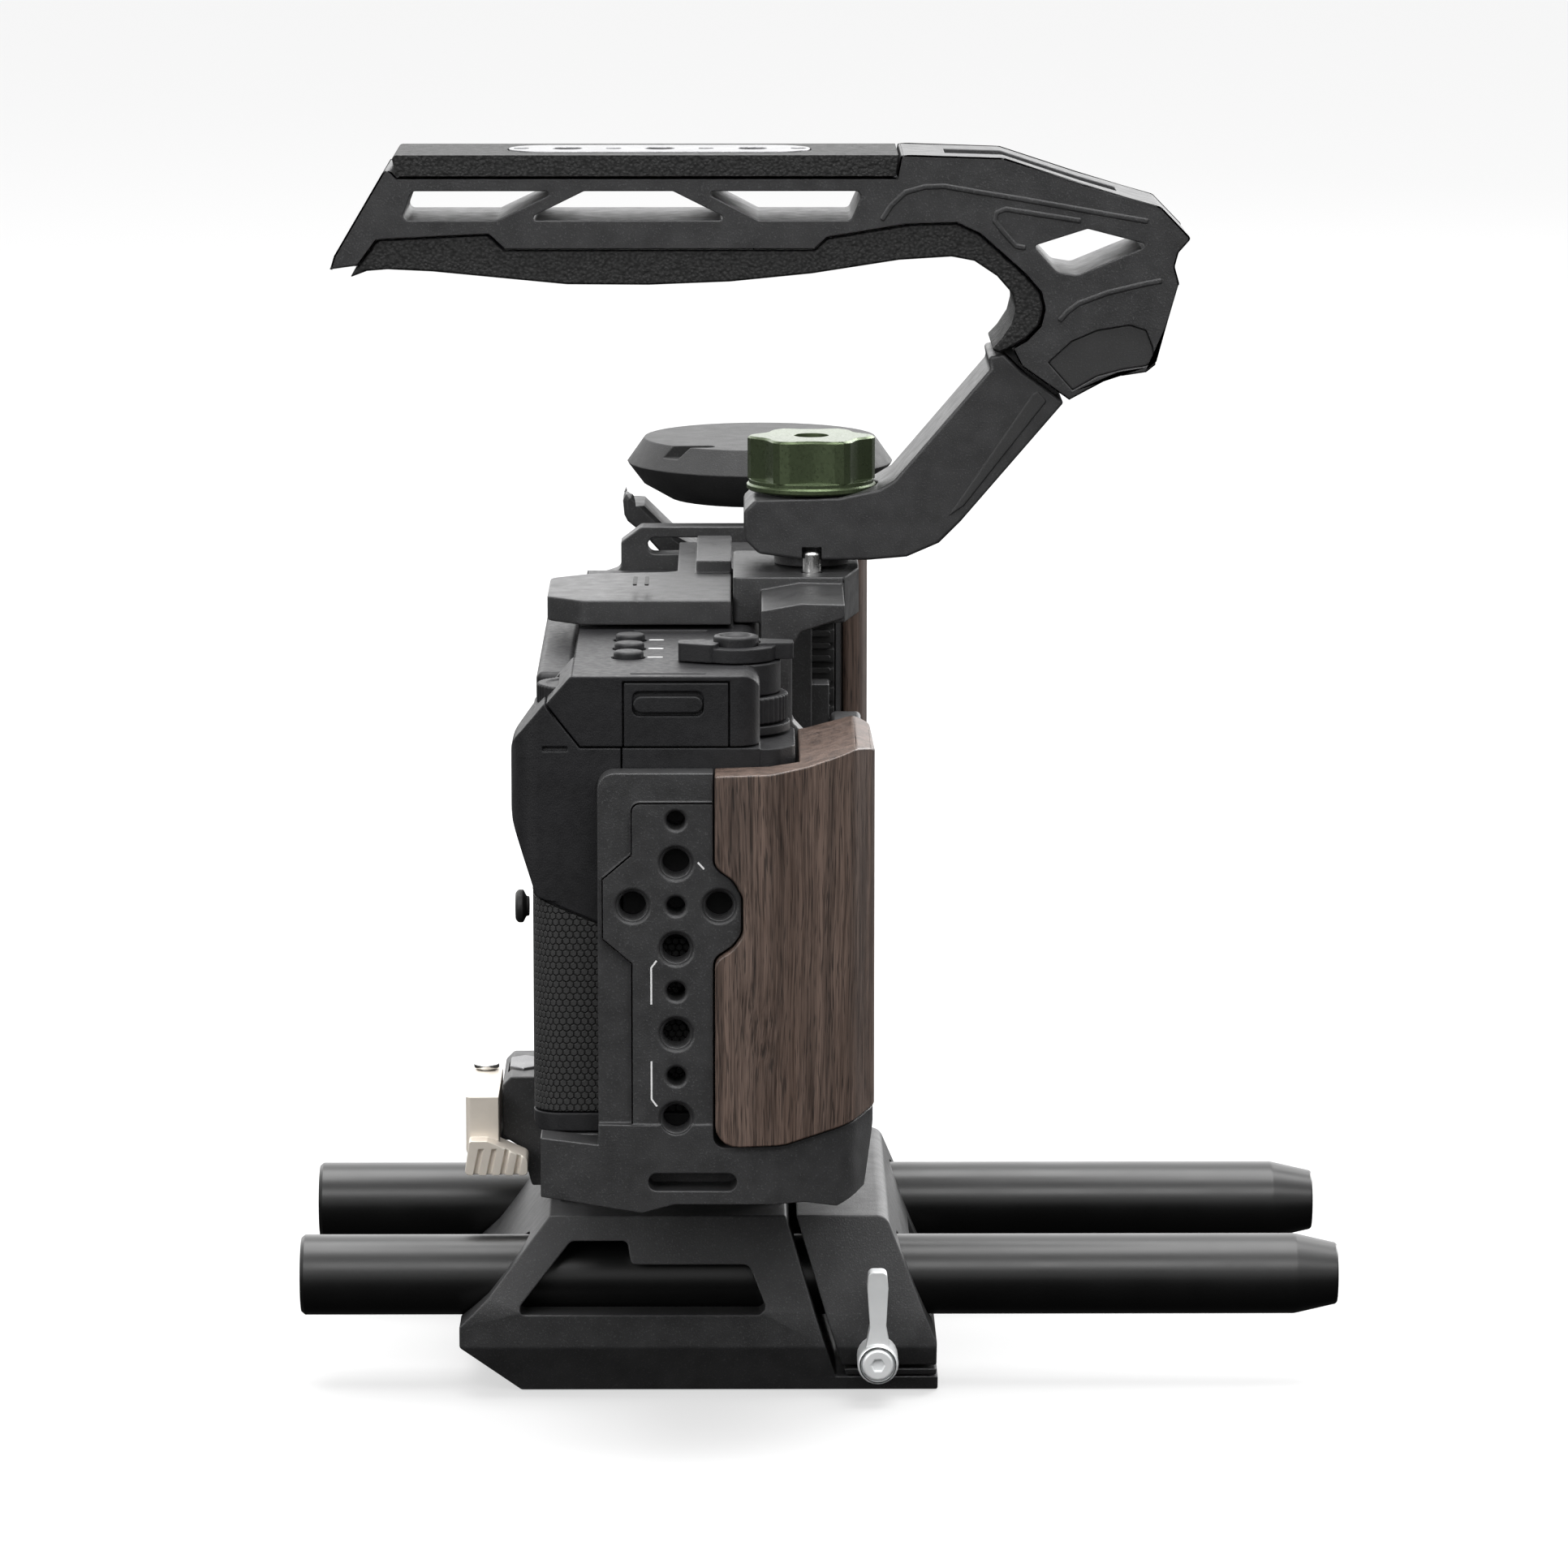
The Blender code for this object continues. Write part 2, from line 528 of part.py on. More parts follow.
def make_cage_right():
    wall = WALL_OUTER + WALL_THICKNESS
    low = CAMERA_BOTTOM - 13.2
    post = prism('cage_right_wall', wall_outline(), 'Y', WALL_OUTER + BOSS_RISE, wall)
    boss_top = CAMERA_BOTTOM + 61.0
    boss_middle = CAMERA_BOTTOM + 42.5
    boss_side = [(-19.4, low), (-19.4, boss_middle - 10.3), (-24.6, boss_middle - 5.9),
                 (-24.6, boss_middle + 4.9), (-19.4, boss_middle + 9.3), (-19.4, boss_top, 1.5),
                 (10.0, boss_top), (10.0, low)]
    boss = prism('wall_boss', boss_side, 'Y', WALL_OUTER, wall - BOSS_RISE, cutters)
    soften(boss, BOSS_RISE, 1, 30)
    join(post, common(boss, prism('boss_limit', wall_outline(), 'Y', WALL_OUTER - 5, wall + 5, cutters)))
    wrap = prism('lower_wrap', grip_plan(WALL_OUTER, WOOD_FRONT - 0.2, WOOD_INNER, wall), 'Z',
                 low, CAMERA_BOTTOM + 3.1, cutters)
    common(wrap, prism('wrap_side', [(-35.7, low + 3), (-17.7, low), (-11.9, low + 1.6), (11.3, low + 1.6),
                                     (17.1, low + 0.3), (22.1, low + 2.4), (24.2, low + 16.2),
                                     (8.0, CAMERA_BOTTOM - 0.9), (-4.9, CAMERA_BOTTOM - 1.25, 4.2),
                                     (-4.9, CAMERA_BOTTOM + 3.0), (-25.4, CAMERA_BOTTOM + 3.0),
                                     (-25.4, CAMERA_BOTTOM - 0.7), (-35.7, CAMERA_BOTTOM + 0.6)],
                       'Y', WALL_OUTER - 5, WOOD_INNER + 5, cutters))
    join(post, wrap)
    slot = [(-16.5, -1.6, 1.5), (-0.8, -1.6, 1.5), (-0.8, 1.6, 1.5), (-16.5, 1.6, 1.5)]
    cut(post, prism('strap_slot_cut', moved(slot, 0, low + 5.7), 'Y', WALL_OUTER - 5, wall + 5, cutters))
    centre = CAMERA_BOTTOM + 42.5
    for index in range(-5, 3):
        radius = SMALL_HOLE_RADIUS if index % 2 == 0 else LARGE_HOLE_RADIUS
        at = (HOLE_X, 0, centre + index * HOLE_PITCH)
        cut(post, rod(f'column_hole_{index + 5}', radius, -wall - 2, -WALL_OUTER + 2, at, '-Y', HOLE_STEPS,
                      cutters))
    for side in (-1, 1):
        at = (HOLE_X + side * HOLE_PITCH, 0, centre)
        cut(post, rod(f'cross_hole_{side}', LARGE_HOLE_RADIUS, -wall - 2, -WALL_OUTER + 2, at, '-Y',
                      HOLE_STEPS,
                      cutters))
    coat(anodised(), post)

    top = CAMERA_TOP - 16.3
    centre_low = centre - 9.4
    centre_high = centre + 7.0
    edge = -4.9 + GAP
    side = [(edge, CAMERA_BOTTOM - 1.0, 4.0), (8.0, CAMERA_BOTTOM - 0.5),
            (WOOD_FRONT, CAMERA_BOTTOM + 3.4), (WOOD_FRONT, top + 2.4, 1.5), (20.5, top + 3.7, 2.0),
            (12.0, top + 1.4), (5.0, top + 0.3), (edge, top), (edge, centre_high + GAP, 2.5),
            (-1.6 + GAP, centre_high - 2.4 + GAP, 4.0), (0.1 + GAP, centre_high - 5.2, 3.0),
            (0.1 + GAP, centre_low + 4.4, 3.0),
            (-1.6 + GAP, centre_low + 2.2 - GAP, 4.0), (edge, centre_low - GAP, 2.5)]
    wood = prism('wood_grip', side, 'Y', WOOD_OUTER - 2, WOOD_INNER + 2)
    common(wood, prism('wood_plan', grip_plan(WOOD_OUTER, WOOD_FRONT, WOOD_INNER, wall), 'Z',
                       CAMERA_BOTTOM - 5, top + 8, cutters))
    coat(walnut(), wood)


def make_cage(plate_top):
    bottom_low = plate_top + GAP
    high = CAMERA_BOTTOM - GAP
    inner_wall = WALL_OUTER + WALL_THICKNESS + GAP
    left = CAMERA_LEFT + 8.0
    plan = [(-34.0, inner_wall), (10.0, inner_wall), (10.0, WOOD_INNER + GAP), (20.0, WOOD_INNER + GAP, 3.0),
            (20.0, 34.0, 6.0), (12.0, left - 8.0 - GAP), (-34.0, left - 8.0 - GAP, 3.0)]
    bottom = prism('cage_bottom_plate', plan, 'Z', bottom_low, high)
    cut(bottom, box('battery_way', (SHELL_SPLIT - 0.8, inner_wall + 1.6, bottom_low - 5),
                    (CAMERA_FRONT - 0.2, CAMERA_RIGHT + 45.0, high + 5), cutters))
    cut(bottom, prism('front_lightening', [(0.0, 24.0, 2.0), (12.0, 24.0, 2.0), (10.0, 46.0, 2.0),
                                           (0.0, 46.0, 2.0)],
                      'Z', bottom_low - 5, high + 5, cutters))
    post_top = CAMERA_TOP - GAP - 0.5
    post = prism('cage_front_post', [(CAMERA_FRONT + GAP, high + GAP), (14.0, high + GAP),
                                     (14.2, CAMERA_TOP - 19.0),
                                     (9.4, CAMERA_TOP - 14.0), (9.4, post_top),
                                     (CAMERA_FRONT + GAP, post_top)],
                 'Y', -43.6, -37.4)

    block_plan = [(-1.4, -18.2, 1.0), (19.3, -18.2, 1.0), (22.2, -5.0), (22.2, 18.0, 2.0), (-1.4, 18.0, 1.0)]
    block = prism('cage_top_block', block_plan, 'Z', CAMERA_TOP + GAP, BLOCK_TOP)
    arm = [(3.8, CAMERA_TOP - 0.5), (9.4, CAMERA_TOP - 0.5), (11.0, CAMERA_TOP + 2.4),
           (19.0, CAMERA_TOP + 5.0),
           (19.0, BLOCK_TOP - 1.4), (11.0, BLOCK_TOP - 1.2), (3.8, CAMERA_TOP + 6.4)]
    join(block, prism('post_arm', arm, 'Y', -43.6, -17.0, cutters))
    cut(block, rod('bolt_bore', BOLT_RADIUS + GAP, CAMERA_TOP - 5, BLOCK_TOP + 5, (KNOB_X, 0, 0), '+Z', 24,
                   cutters))
    pin_radius = 1.7
    for name, y in (('locating_pin_right', -10.9), ('locating_pin_left', 10.9)):
        at = (KNOB_X, y, 0)
        cut(block, rod(name + '_seat', pin_radius + GAP, BLOCK_TOP - 4, BLOCK_TOP + 4, at, '+Z', 20, cutters))
        pin = rod(name, pin_radius, BLOCK_TOP - 4 + GAP, HANDLE_FOOT + 1.6, at, '+Z', 20, chamfer=0.4)
        coat(steel(), pin)

    rail_left = left - 8.0 + 1.3
    rear_edge = CAMERA_REAR + 1.3
    plan = [(rear_edge, -18.0, 3.0), (rear_edge + 6.5, -24.0, 4.0), (-1.4 - GAP, -24.0),
            (-1.4 - GAP, 18.0 + GAP),
            (10.0, 18.0 + GAP), (10.0, rail_left), (-12.0, rail_left), (-12.0, 14.0, 3.0),
            (-28.0, 12.0, 4.0), (rear_edge, 6.0, 3.0)]
    plate = prism('cage_top_plate', plan, 'Z', TOP_PLATE_LOW, TOP_PLATE_HIGH)
    join(plate, box('rail', (-8.4, 12.0, TOP_PLATE_HIGH - 1),
                    (-1.4 - GAP, rail_left - 8, TOP_PLATE_HIGH + 2.4),
                    cutters))
    cut(plate, prism('screen_notch', [(rear_edge - 3, TOP_PLATE_LOW - 2), (rear_edge + 9, TOP_PLATE_LOW - 2),
                                      (rear_edge + 4, TOP_PLATE_LOW + 2.2),
                                      (rear_edge - 3, TOP_PLATE_LOW + 1.6)],
                     'Y', -16.0, 30.0, cutters))
    soften(post, 0.5)
    coat(anodised(), bottom, post, block, plate)

    inner = left - 8.0 + 1.6
    outer = inner + 5.5
    top = CAMERA_TOP + 8.4
    side = [(-29.5, bottom_low + 2, 2.0), (-29.5, CAMERA_TOP - 2.0), (-23.4, CAMERA_TOP, 1.5),
            (-23.4, top - 3.0),
            (-19.4, top, 1.5), (14.0, top, 3.0), (14.0, bottom_low, 3.0), (-26.0, bottom_low)]
    wall = prism('cage_left_wall', side, 'Y', inner, outer)
    cut(wall, prism('left_window', [(-26.0, CAMERA_BOTTOM + 12, 3.0), (0.0, CAMERA_BOTTOM + 12, 3.0),
                                    (0.0, CAMERA_TOP - 12, 3.0), (-26.0, CAMERA_TOP - 12, 3.0)],
                    'Y', inner - 5, outer + 5, cutters))
    strap = [(-18.2, -1.6, 1.5), (-6.0, -1.6, 1.5), (-6.0, 1.6, 1.5), (-18.2, 1.6, 1.5)]
    cut(wall, prism('left_strap_slot', moved(strap, 0, top - 3.8), 'Y', inner - 5, outer + 5, cutters))
    coat(anodised(), wall)
    return outer


# ---- camera --------------------------------------------------------------------------
def dial(name, radius, low, high, x, y, ridges):
    """A flat wheel with straight ridges round its rim."""
    outline = []
    for index in range(ridges * 2):
        angle = math.pi * index / ridges
        reach = radius if index % 2 else radius - 0.5
        for turn in (-0.3, 0.3):
            around = angle + turn * math.pi / ridges
            outline.append((x + reach * math.cos(around), y + reach * math.sin(around)))
    return prism(name, outline, 'Z', low, high)


def end_plan(inset):
    """The camera's plan at its right end, with the rear corner rounded."""
    return [(CAMERA_REAR + inset, CAMERA_LEFT + 5), (CAMERA_REAR + inset, CAMERA_RIGHT + inset, 5.0 - inset),
            (GRIP_FRONT, CAMERA_RIGHT + inset), (GRIP_FRONT, CAMERA_LEFT + 5)]


def make_camera_shells():
    cover_low = CAMERA_TOP - TOP_COVER_HEIGHT
    shell_top = cover_low - GAP
    front = box('front_shell', (SHELL_SPLIT, CAMERA_RIGHT, CAMERA_BOTTOM),
                (CAMERA_FRONT, CAMERA_LEFT, shell_top))
    grip = [(CAMERA_FRONT - 3, CAMERA_RIGHT + 0.2), (CAMERA_FRONT + 3, CAMERA_RIGHT + 0.2, 3.0),
            (GRIP_FRONT, CAMERA_RIGHT + 5, 4.0), (GRIP_FRONT, -56.0, 6.0), (CAMERA_FRONT, -46.0),
            (CAMERA_FRONT - 3, -46.0)]
    join(front, prism('own_grip', grip, 'Z', CAMERA_BOTTOM + 0.2, shell_top - 0.2, cutters))
    cut(front, rod('throat', THROAT_RADIUS, FLANGE_X - FLANGE_TO_SENSOR - 1.8, 30, (0, 0, LENS_AXIS_Z), '+X',
                   40,
                   cutters))
    well_y = CAMERA_RIGHT + 2.5
    size_x, size_y, size_z = BATTERY_SIZE
    well_x = SHELL_SPLIT + 1.6
    clear = 0.5
    cut(front, box('battery_well', (well_x, well_y, CAMERA_BOTTOM - 5),
                   (well_x + size_x + 2 * clear, well_y + size_y + 2 * clear, CAMERA_BOTTOM + size_z + 4),
                   cutters))
    battery = box('battery', (well_x + clear, well_y + clear, CAMERA_BOTTOM + 3),
                  (well_x + clear + size_x, well_y + clear + size_y, CAMERA_BOTTOM + 3 + size_z))
    soften(battery, 1.0)
    door = box('battery_door', (well_x + RUN, well_y + RUN, CAMERA_BOTTOM + 0.2),
               (well_x + size_x + 2 * clear - RUN, well_y + size_y + 2 * clear - RUN, CAMERA_BOTTOM + 2.2))

    rear_side = [(CAMERA_REAR, CAMERA_BOTTOM, 1.5), (SHELL_SPLIT - GAP, CAMERA_BOTTOM),
                 (SHELL_SPLIT - GAP, shell_top), (-28.6, shell_top), (-34.9, CAMERA_TOP - 4.9),
                 (CAMERA_REAR, CAMERA_TOP - 7.7)]
    rear = prism('rear_cover', rear_side, 'Y', CAMERA_RIGHT, CAMERA_LEFT)
    thumb = [(CAMERA_REAR + 1, CAMERA_BOTTOM + 42), (-31.0, CAMERA_BOTTOM + 42), (-31.0, CAMERA_TOP - 10.8),
             (-34.9, CAMERA_TOP - 4.9), (THUMB_REAR, CAMERA_TOP - 12.2, 5.0),
             (THUMB_REAR, CAMERA_TOP - 26.0, 14.0)]
    common(rear, prism('rear_plan', end_plan(0.0), 'Z', CAMERA_BOTTOM - 5, CAMERA_TOP + 5, cutters))
    bulge = prism('thumb_bulge', thumb, 'Y', CAMERA_RIGHT, SCREEN_RIGHT - 5, cutters)
    bulge_plan = [(THUMB_REAR, CAMERA_RIGHT, 6.0), (-30.0, CAMERA_RIGHT), (-30.0, SCREEN_RIGHT - 3),
                  (CAMERA_REAR, SCREEN_RIGHT - 5.0), (THUMB_REAR, SCREEN_RIGHT - 11.0, 4.0)]
    common(bulge, prism('bulge_plan', bulge_plan, 'Z', CAMERA_BOTTOM, CAMERA_TOP, cutters))
    join(rear, bulge)
    cut(rear, box('screen_pocket', (-60, SCREEN_RIGHT - 1.0, CAMERA_BOTTOM + 13.2),
                  (SCREEN_FRONT + GAP, CAMERA_LEFT + 5, CAMERA_TOP + 5), cutters))

    cover_side = [(-34.5, CAMERA_TOP - 4.9), (-28.5, cover_low), (CAMERA_FRONT, cover_low),
                  (CAMERA_FRONT, CAMERA_TOP, 3.0), (-30.2, CAMERA_TOP, 1.0)]
    cover = prism('top_cover', cover_side, 'Y', CAMERA_RIGHT, CAMERA_LEFT)
    common(cover, prism('cover_plan', [(-60.0, CAMERA_LEFT + 5), (-60.0, CAMERA_RIGHT - 1),
                                       (-20.0, CAMERA_RIGHT - 1),
                                       (-10.0, CAMERA_RIGHT), (CAMERA_FRONT, CAMERA_RIGHT, 4.5),
                                       (CAMERA_FRONT, CAMERA_LEFT + 5)],
                        'Z', cover_low - 5, CAMERA_TOP + 5, cutters))
    cut(cover, box('cover_screen_pocket', (-60, SCREEN_RIGHT - 1.0, CAMERA_BOTTOM),
                   (SCREEN_FRONT + GAP, CAMERA_LEFT + 5, CAMERA_TOP + 5), cutters))
    stack = (STACK_X, STACK_Y, 0)
    slot_low = cover_low + 1.6
    slot_high = slot_low + 5.4
    cut(cover, rod('dial_slot', FRONT_DIAL_RADIUS + RUN, slot_low, slot_high, stack, '+Z', 40, cutters))
    join(cover, rod('stack_housing', FRONT_DIAL_RADIUS - 1.4, slot_high, CAMERA_TOP, stack, '+Z', 40,
                    cutters),
         rod('stack_foot', FRONT_DIAL_RADIUS + 0.3, cover_low, slot_low, stack, '+Z', 40, cutters))
    cut(cover, rod('shutter_well', SHUTTER_RADIUS + RUN, CAMERA_TOP - 2.6, CAMERA_TOP + 5, stack, '+Z', 32,
                   cutters))
    front_dial = dial('front_dial', FRONT_DIAL_RADIUS, slot_low + GAP, slot_high - GAP, STACK_X, STACK_Y, 24)

    dial_low = CAMERA_TOP - 7.2
    dial_high = dial_low + 4.4
    at = (REAR_DIAL_X, REAR_DIAL_Y, 0)
    cut(cover, rod('rear_dial_slot', REAR_DIAL_RADIUS + RUN, dial_low, dial_high, at, '+Z', 32, cutters))
    cut(rear, rod('rear_dial_slot_low', REAR_DIAL_RADIUS + RUN, dial_low, dial_high, at, '+Z', 32, cutters))
    rear_dial = dial('rear_dial', REAR_DIAL_RADIUS, dial_low + RUN, dial_high - RUN, REAR_DIAL_X,
                     REAR_DIAL_Y, 18)

    for index, y in enumerate(BUTTON_Y):
        at = (BUTTON_X, y, 0)
        cut(cover, rod(f'button_well_{index + 1}', BUTTON_RADIUS + RUN, CAMERA_TOP - 3, CAMERA_TOP + 5, at,
                       '+Z',
                       20, cutters))
        button = rod(f'top_button_{index + 1}', BUTTON_RADIUS, CAMERA_TOP - 1.8, CAMERA_TOP + 1.2, at, '+Z',
                     20,
                     chamfer=0.3)
        coat(camera_skin(), button)
    lug_high = CAMERA_TOP - 0.9
    seat = ((SHELL_SPLIT, CAMERA_RIGHT - 5, cover_low - 5), (-1.9, CAMERA_RIGHT + 1.6, lug_high))
    cut(cover, box('lug_seat', *seat, cutters))
    lug = box('strap_lug_panel', (SHELL_SPLIT + GAP, CAMERA_RIGHT, cover_low),
              (-1.9 - GAP, CAMERA_RIGHT + 1.6 - GAP, lug_high - GAP))
    groove = [(-19.2, -2.2, 1.2), (-6.6, -2.2, 1.2), (-6.6, 2.2, 1.2), (-19.2, 2.2, 1.2)]
    cut(lug, prism('lug_groove', moved(groove, 0, CAMERA_TOP - 4.9), 'Y', CAMERA_RIGHT - 5,
                   CAMERA_RIGHT + 0.9,
                   cutters))
    for label, y in (('near', CAMERA_RIGHT + 2.6), ('far', -26.0)):
        cut(cover, box('sound_slot_' + label, (-19.6, y, CAMERA_TOP - 1), (-6.2, y + 1.2, CAMERA_TOP + 5),
                       cutters))
    cut(rear, box('end_slot', (-35.2, CAMERA_RIGHT - 5, CAMERA_TOP - 13.4),
                  (-30.8, CAMERA_RIGHT + 0.8, CAMERA_TOP - 12.6), cutters))

    skin_high = CAMERA_BOTTOM + 43.0
    skin = [(CAMERA_REAR - 1, CAMERA_BOTTOM + 3.6), (GRIP_FRONT - 7.0, CAMERA_BOTTOM + 3.6),
            (GRIP_FRONT - 7.0, skin_high - 10.0), (-25.0, skin_high - 5.5), (CAMERA_REAR - 1, skin_high)]
    grown = [(CAMERA_REAR - 5, CAMERA_BOTTOM + 3.3), (GRIP_FRONT - 6.6, CAMERA_BOTTOM + 3.3),
             (GRIP_FRONT - 6.6, skin_high - 9.6), (-24.9, skin_high - 5.1),
             (CAMERA_REAR - 5, skin_high + 2.2)]
    depth = 1.3
    wrap = CAMERA_RIGHT + 6.0
    for shell, label in ((front, 'front'), (rear, 'rear')):
        seat = prism('skin_seat_' + label, grown, 'Y', CAMERA_RIGHT - 5, wrap + GAP, cutters)
        cut(seat, prism('skin_bed_' + label, end_plan(depth), 'Z', CAMERA_BOTTOM - 5, CAMERA_TOP + 5,
                        cutters))
        cut(shell, seat)
    pad = prism('grip_rubber', skin, 'Y', CAMERA_RIGHT - 1, wrap)
    common(pad, prism('skin_outside', end_plan(0.1), 'Z', CAMERA_BOTTOM - 5, CAMERA_TOP + 5, cutters))
    cut(pad, prism('skin_inside', end_plan(depth - GAP), 'Z', CAMERA_BOTTOM - 5, CAMERA_TOP + 5, cutters))

    coat(camera_skin(), front, rear, cover, lug, front_dial, rear_dial, door)
    coat(rubber(), pad)
    coat(finish('battery_grey', (0.06, 0.06, 0.065), 0.5, 0.0), battery)


def make_camera_controls():
    stack = (STACK_X, STACK_Y, 0)
    inner = SHUTTER_RADIUS + RUN
    outer = 7.3
    low = CAMERA_TOP + GAP
    ring = rod('power_switch', outer, low, low + 2.4, stack, '+Z', 36)
    tab = [(-10.4, -3.8, 1.0), (-4.0, -6.6, 1.0), (-3.0, -3.0), (-6.0, 1.0), (-10.4, 0.2, 1.0)]
    horn = [(4.0, -2.0), (10.4, -1.6, 1.0), (10.2, 2.6, 1.0), (4.0, 4.0)]
    join(ring, prism('switch_tab', moved(tab, STACK_X, STACK_Y), 'Z', low, low + 3.2, cutters),
         prism('switch_horn', moved(horn, STACK_X, STACK_Y), 'Z', low, low + 2.9, cutters))
    cut(ring, rod('switch_bore', inner, low - 5, low + 9, stack, '+Z', 36, cutters))
    shutter = turned('shutter_button', [(0.0, low + 3.7), (SHUTTER_RADIUS - 1.6, low + 3.9),
                                        (SHUTTER_RADIUS - 0.3, low + 4.1), (SHUTTER_RADIUS, low + 3.7),
                                        (SHUTTER_RADIUS, low - 1.3), (0.0, low - 1.3)], stack, '+Z', 32)

    axis = (0, 0, LENS_AXIS_Z)
    back = CAMERA_FRONT + GAP
    mount = turned('lens_mount_ring', [(THROAT_RADIUS, FLANGE_X), (MOUNT_RADIUS - 1.0, FLANGE_X),
                                       (MOUNT_RADIUS, FLANGE_X - 1.0), (MOUNT_RADIUS, back),
                                       (THROAT_RADIUS, back), (THROAT_RADIUS, FLANGE_X)], axis, '+X', 48)
    sensor_x = FLANGE_X - FLANGE_TO_SENSOR
    sensor = box('image_sensor', (sensor_x - 1.4, -18, LENS_AXIS_Z - 13), (sensor_x, 18, LENS_AXIS_Z + 13))
    release_y = MOUNT_RADIUS + 5.6
    release_z = LENS_AXIS_Z - 4
    release = rod('lens_release_button', 3.6, CAMERA_FRONT + 1.4, CAMERA_FRONT + 4.2,
                  (0, release_y, release_z),
                  '+X', 24, chamfer=0.4)

    stick_z = CAMERA_BOTTOM + 38.8
    stick = turned('joystick', [(0.0, 2.6), (2.4, 2.6), (3.0, 2.1), (3.0, 1.2), (1.8, 0.6), (1.8, 0.1),
                                (0.0, 0.1)], (0, 0, 0), '+Z', 20)
    stick.matrix_world = (Matrix.Translation(Vector((CAMERA_REAR - GAP - 0.4, CAMERA_RIGHT + 12.0,
                                                     stick_z)) * MM)
                          @ Matrix.Rotation(-math.pi / 2, 4, 'Y'))

    low = CAMERA_BOTTOM + 15.0
    high = CAMERA_TOP - 3.0
    screen = box('monitor', (SCREEN_REAR, SCREEN_RIGHT, low), (SCREEN_FRONT, SCREEN_LEFT, high))
    soften(screen, 0.8)
    glass = 4.0
    cut(screen, box('glass_seat', (SCREEN_REAR - 5, SCREEN_RIGHT + glass, low + glass),
                    (SCREEN_REAR + 1.0, SCREEN_LEFT - glass, high - glass), cutters))
    panel = box('monitor_glass', (SCREEN_REAR + 0.1, SCREEN_RIGHT + glass + GAP, low + glass + GAP),
                (SCREEN_REAR + 1.0 - GAP, SCREEN_LEFT - glass - GAP, high - glass - GAP))
    hinge = box('monitor_hinge', (SCREEN_REAR, SCREEN_LEFT + 1.8, low + 2),
                (SCREEN_FRONT, CAMERA_LEFT - 1, high - 2))
    soften(hinge, 0.8)
    door = box('port_cover', (-24.5, CAMERA_LEFT + GAP, CAMERA_BOTTOM + 16),
               (-4.0, CAMERA_LEFT + 1.4, CAMERA_TOP - 17))
    coat(camera_skin(), ring, shutter, screen, hinge, release)
    coat(steel(), mount)
    coat(rubber(), stick, door)
    coat(dark_glass(), sensor, panel)


# ---- top handle ----------------------------------------------------------------------
HANDLE_OUTER = [(-75.6, 56.1), (-74.9, 58.4), (-65.2, 74.8, 1.5), (-63.4, 72.8), (29.0, 72.8),
                (29.8, 77.0, 0.5),
                (48.6, 76.4, 3.0), (63.2, 71.6), (77.6, 67.4, 2.0), (83.2, 61.6, 0.6), (80.9, 59.0, 1.0),
                (80.2, 56.4, 1.5), (81.1, 53.2, 1.0), (79.2, 46.5), (76.9, 38.3), (75.2, 36.9), (70.7, 36.2),
                (69.9, 36.6), (66.2, 34.6), (61.0, 31.8)]
GRIP_TOP_EDGE = [(50.4, 41.5), (52.8, 42.9), (55.4, 45.6), (56.1, 48.6), (55.4, 51.6), (52.6, 54.8),
                 (44.2, 62.3), (40.0, 64.3), (30.6, 64.0), (16.2, 61.6), (13.8, 59.4), (-43.6, 59.4),
                 (-46.6, 62.2), (-67.0, 61.2), (-70.4, 56.6)]
GRIP_LOW_EDGE = [(-72.2, 54.4), (-69.0, 55.6), (-65.2, 55.9), (-56.9, 55.5), (-44.1, 54.2), (-32.0, 53.1),
                 (-16.9, 53.0), (-1.8, 53.6), (13.3, 55.1), (29.4, 57.6), (39.1, 58.2), (43.3, 57.4),
                 (47.5, 54.6), (50.3, 51.4), (51.0, 48.6), (50.3, 45.8), (48.5, 43.0), (46.6, 41.0),
                 (47.8, 40.3)]


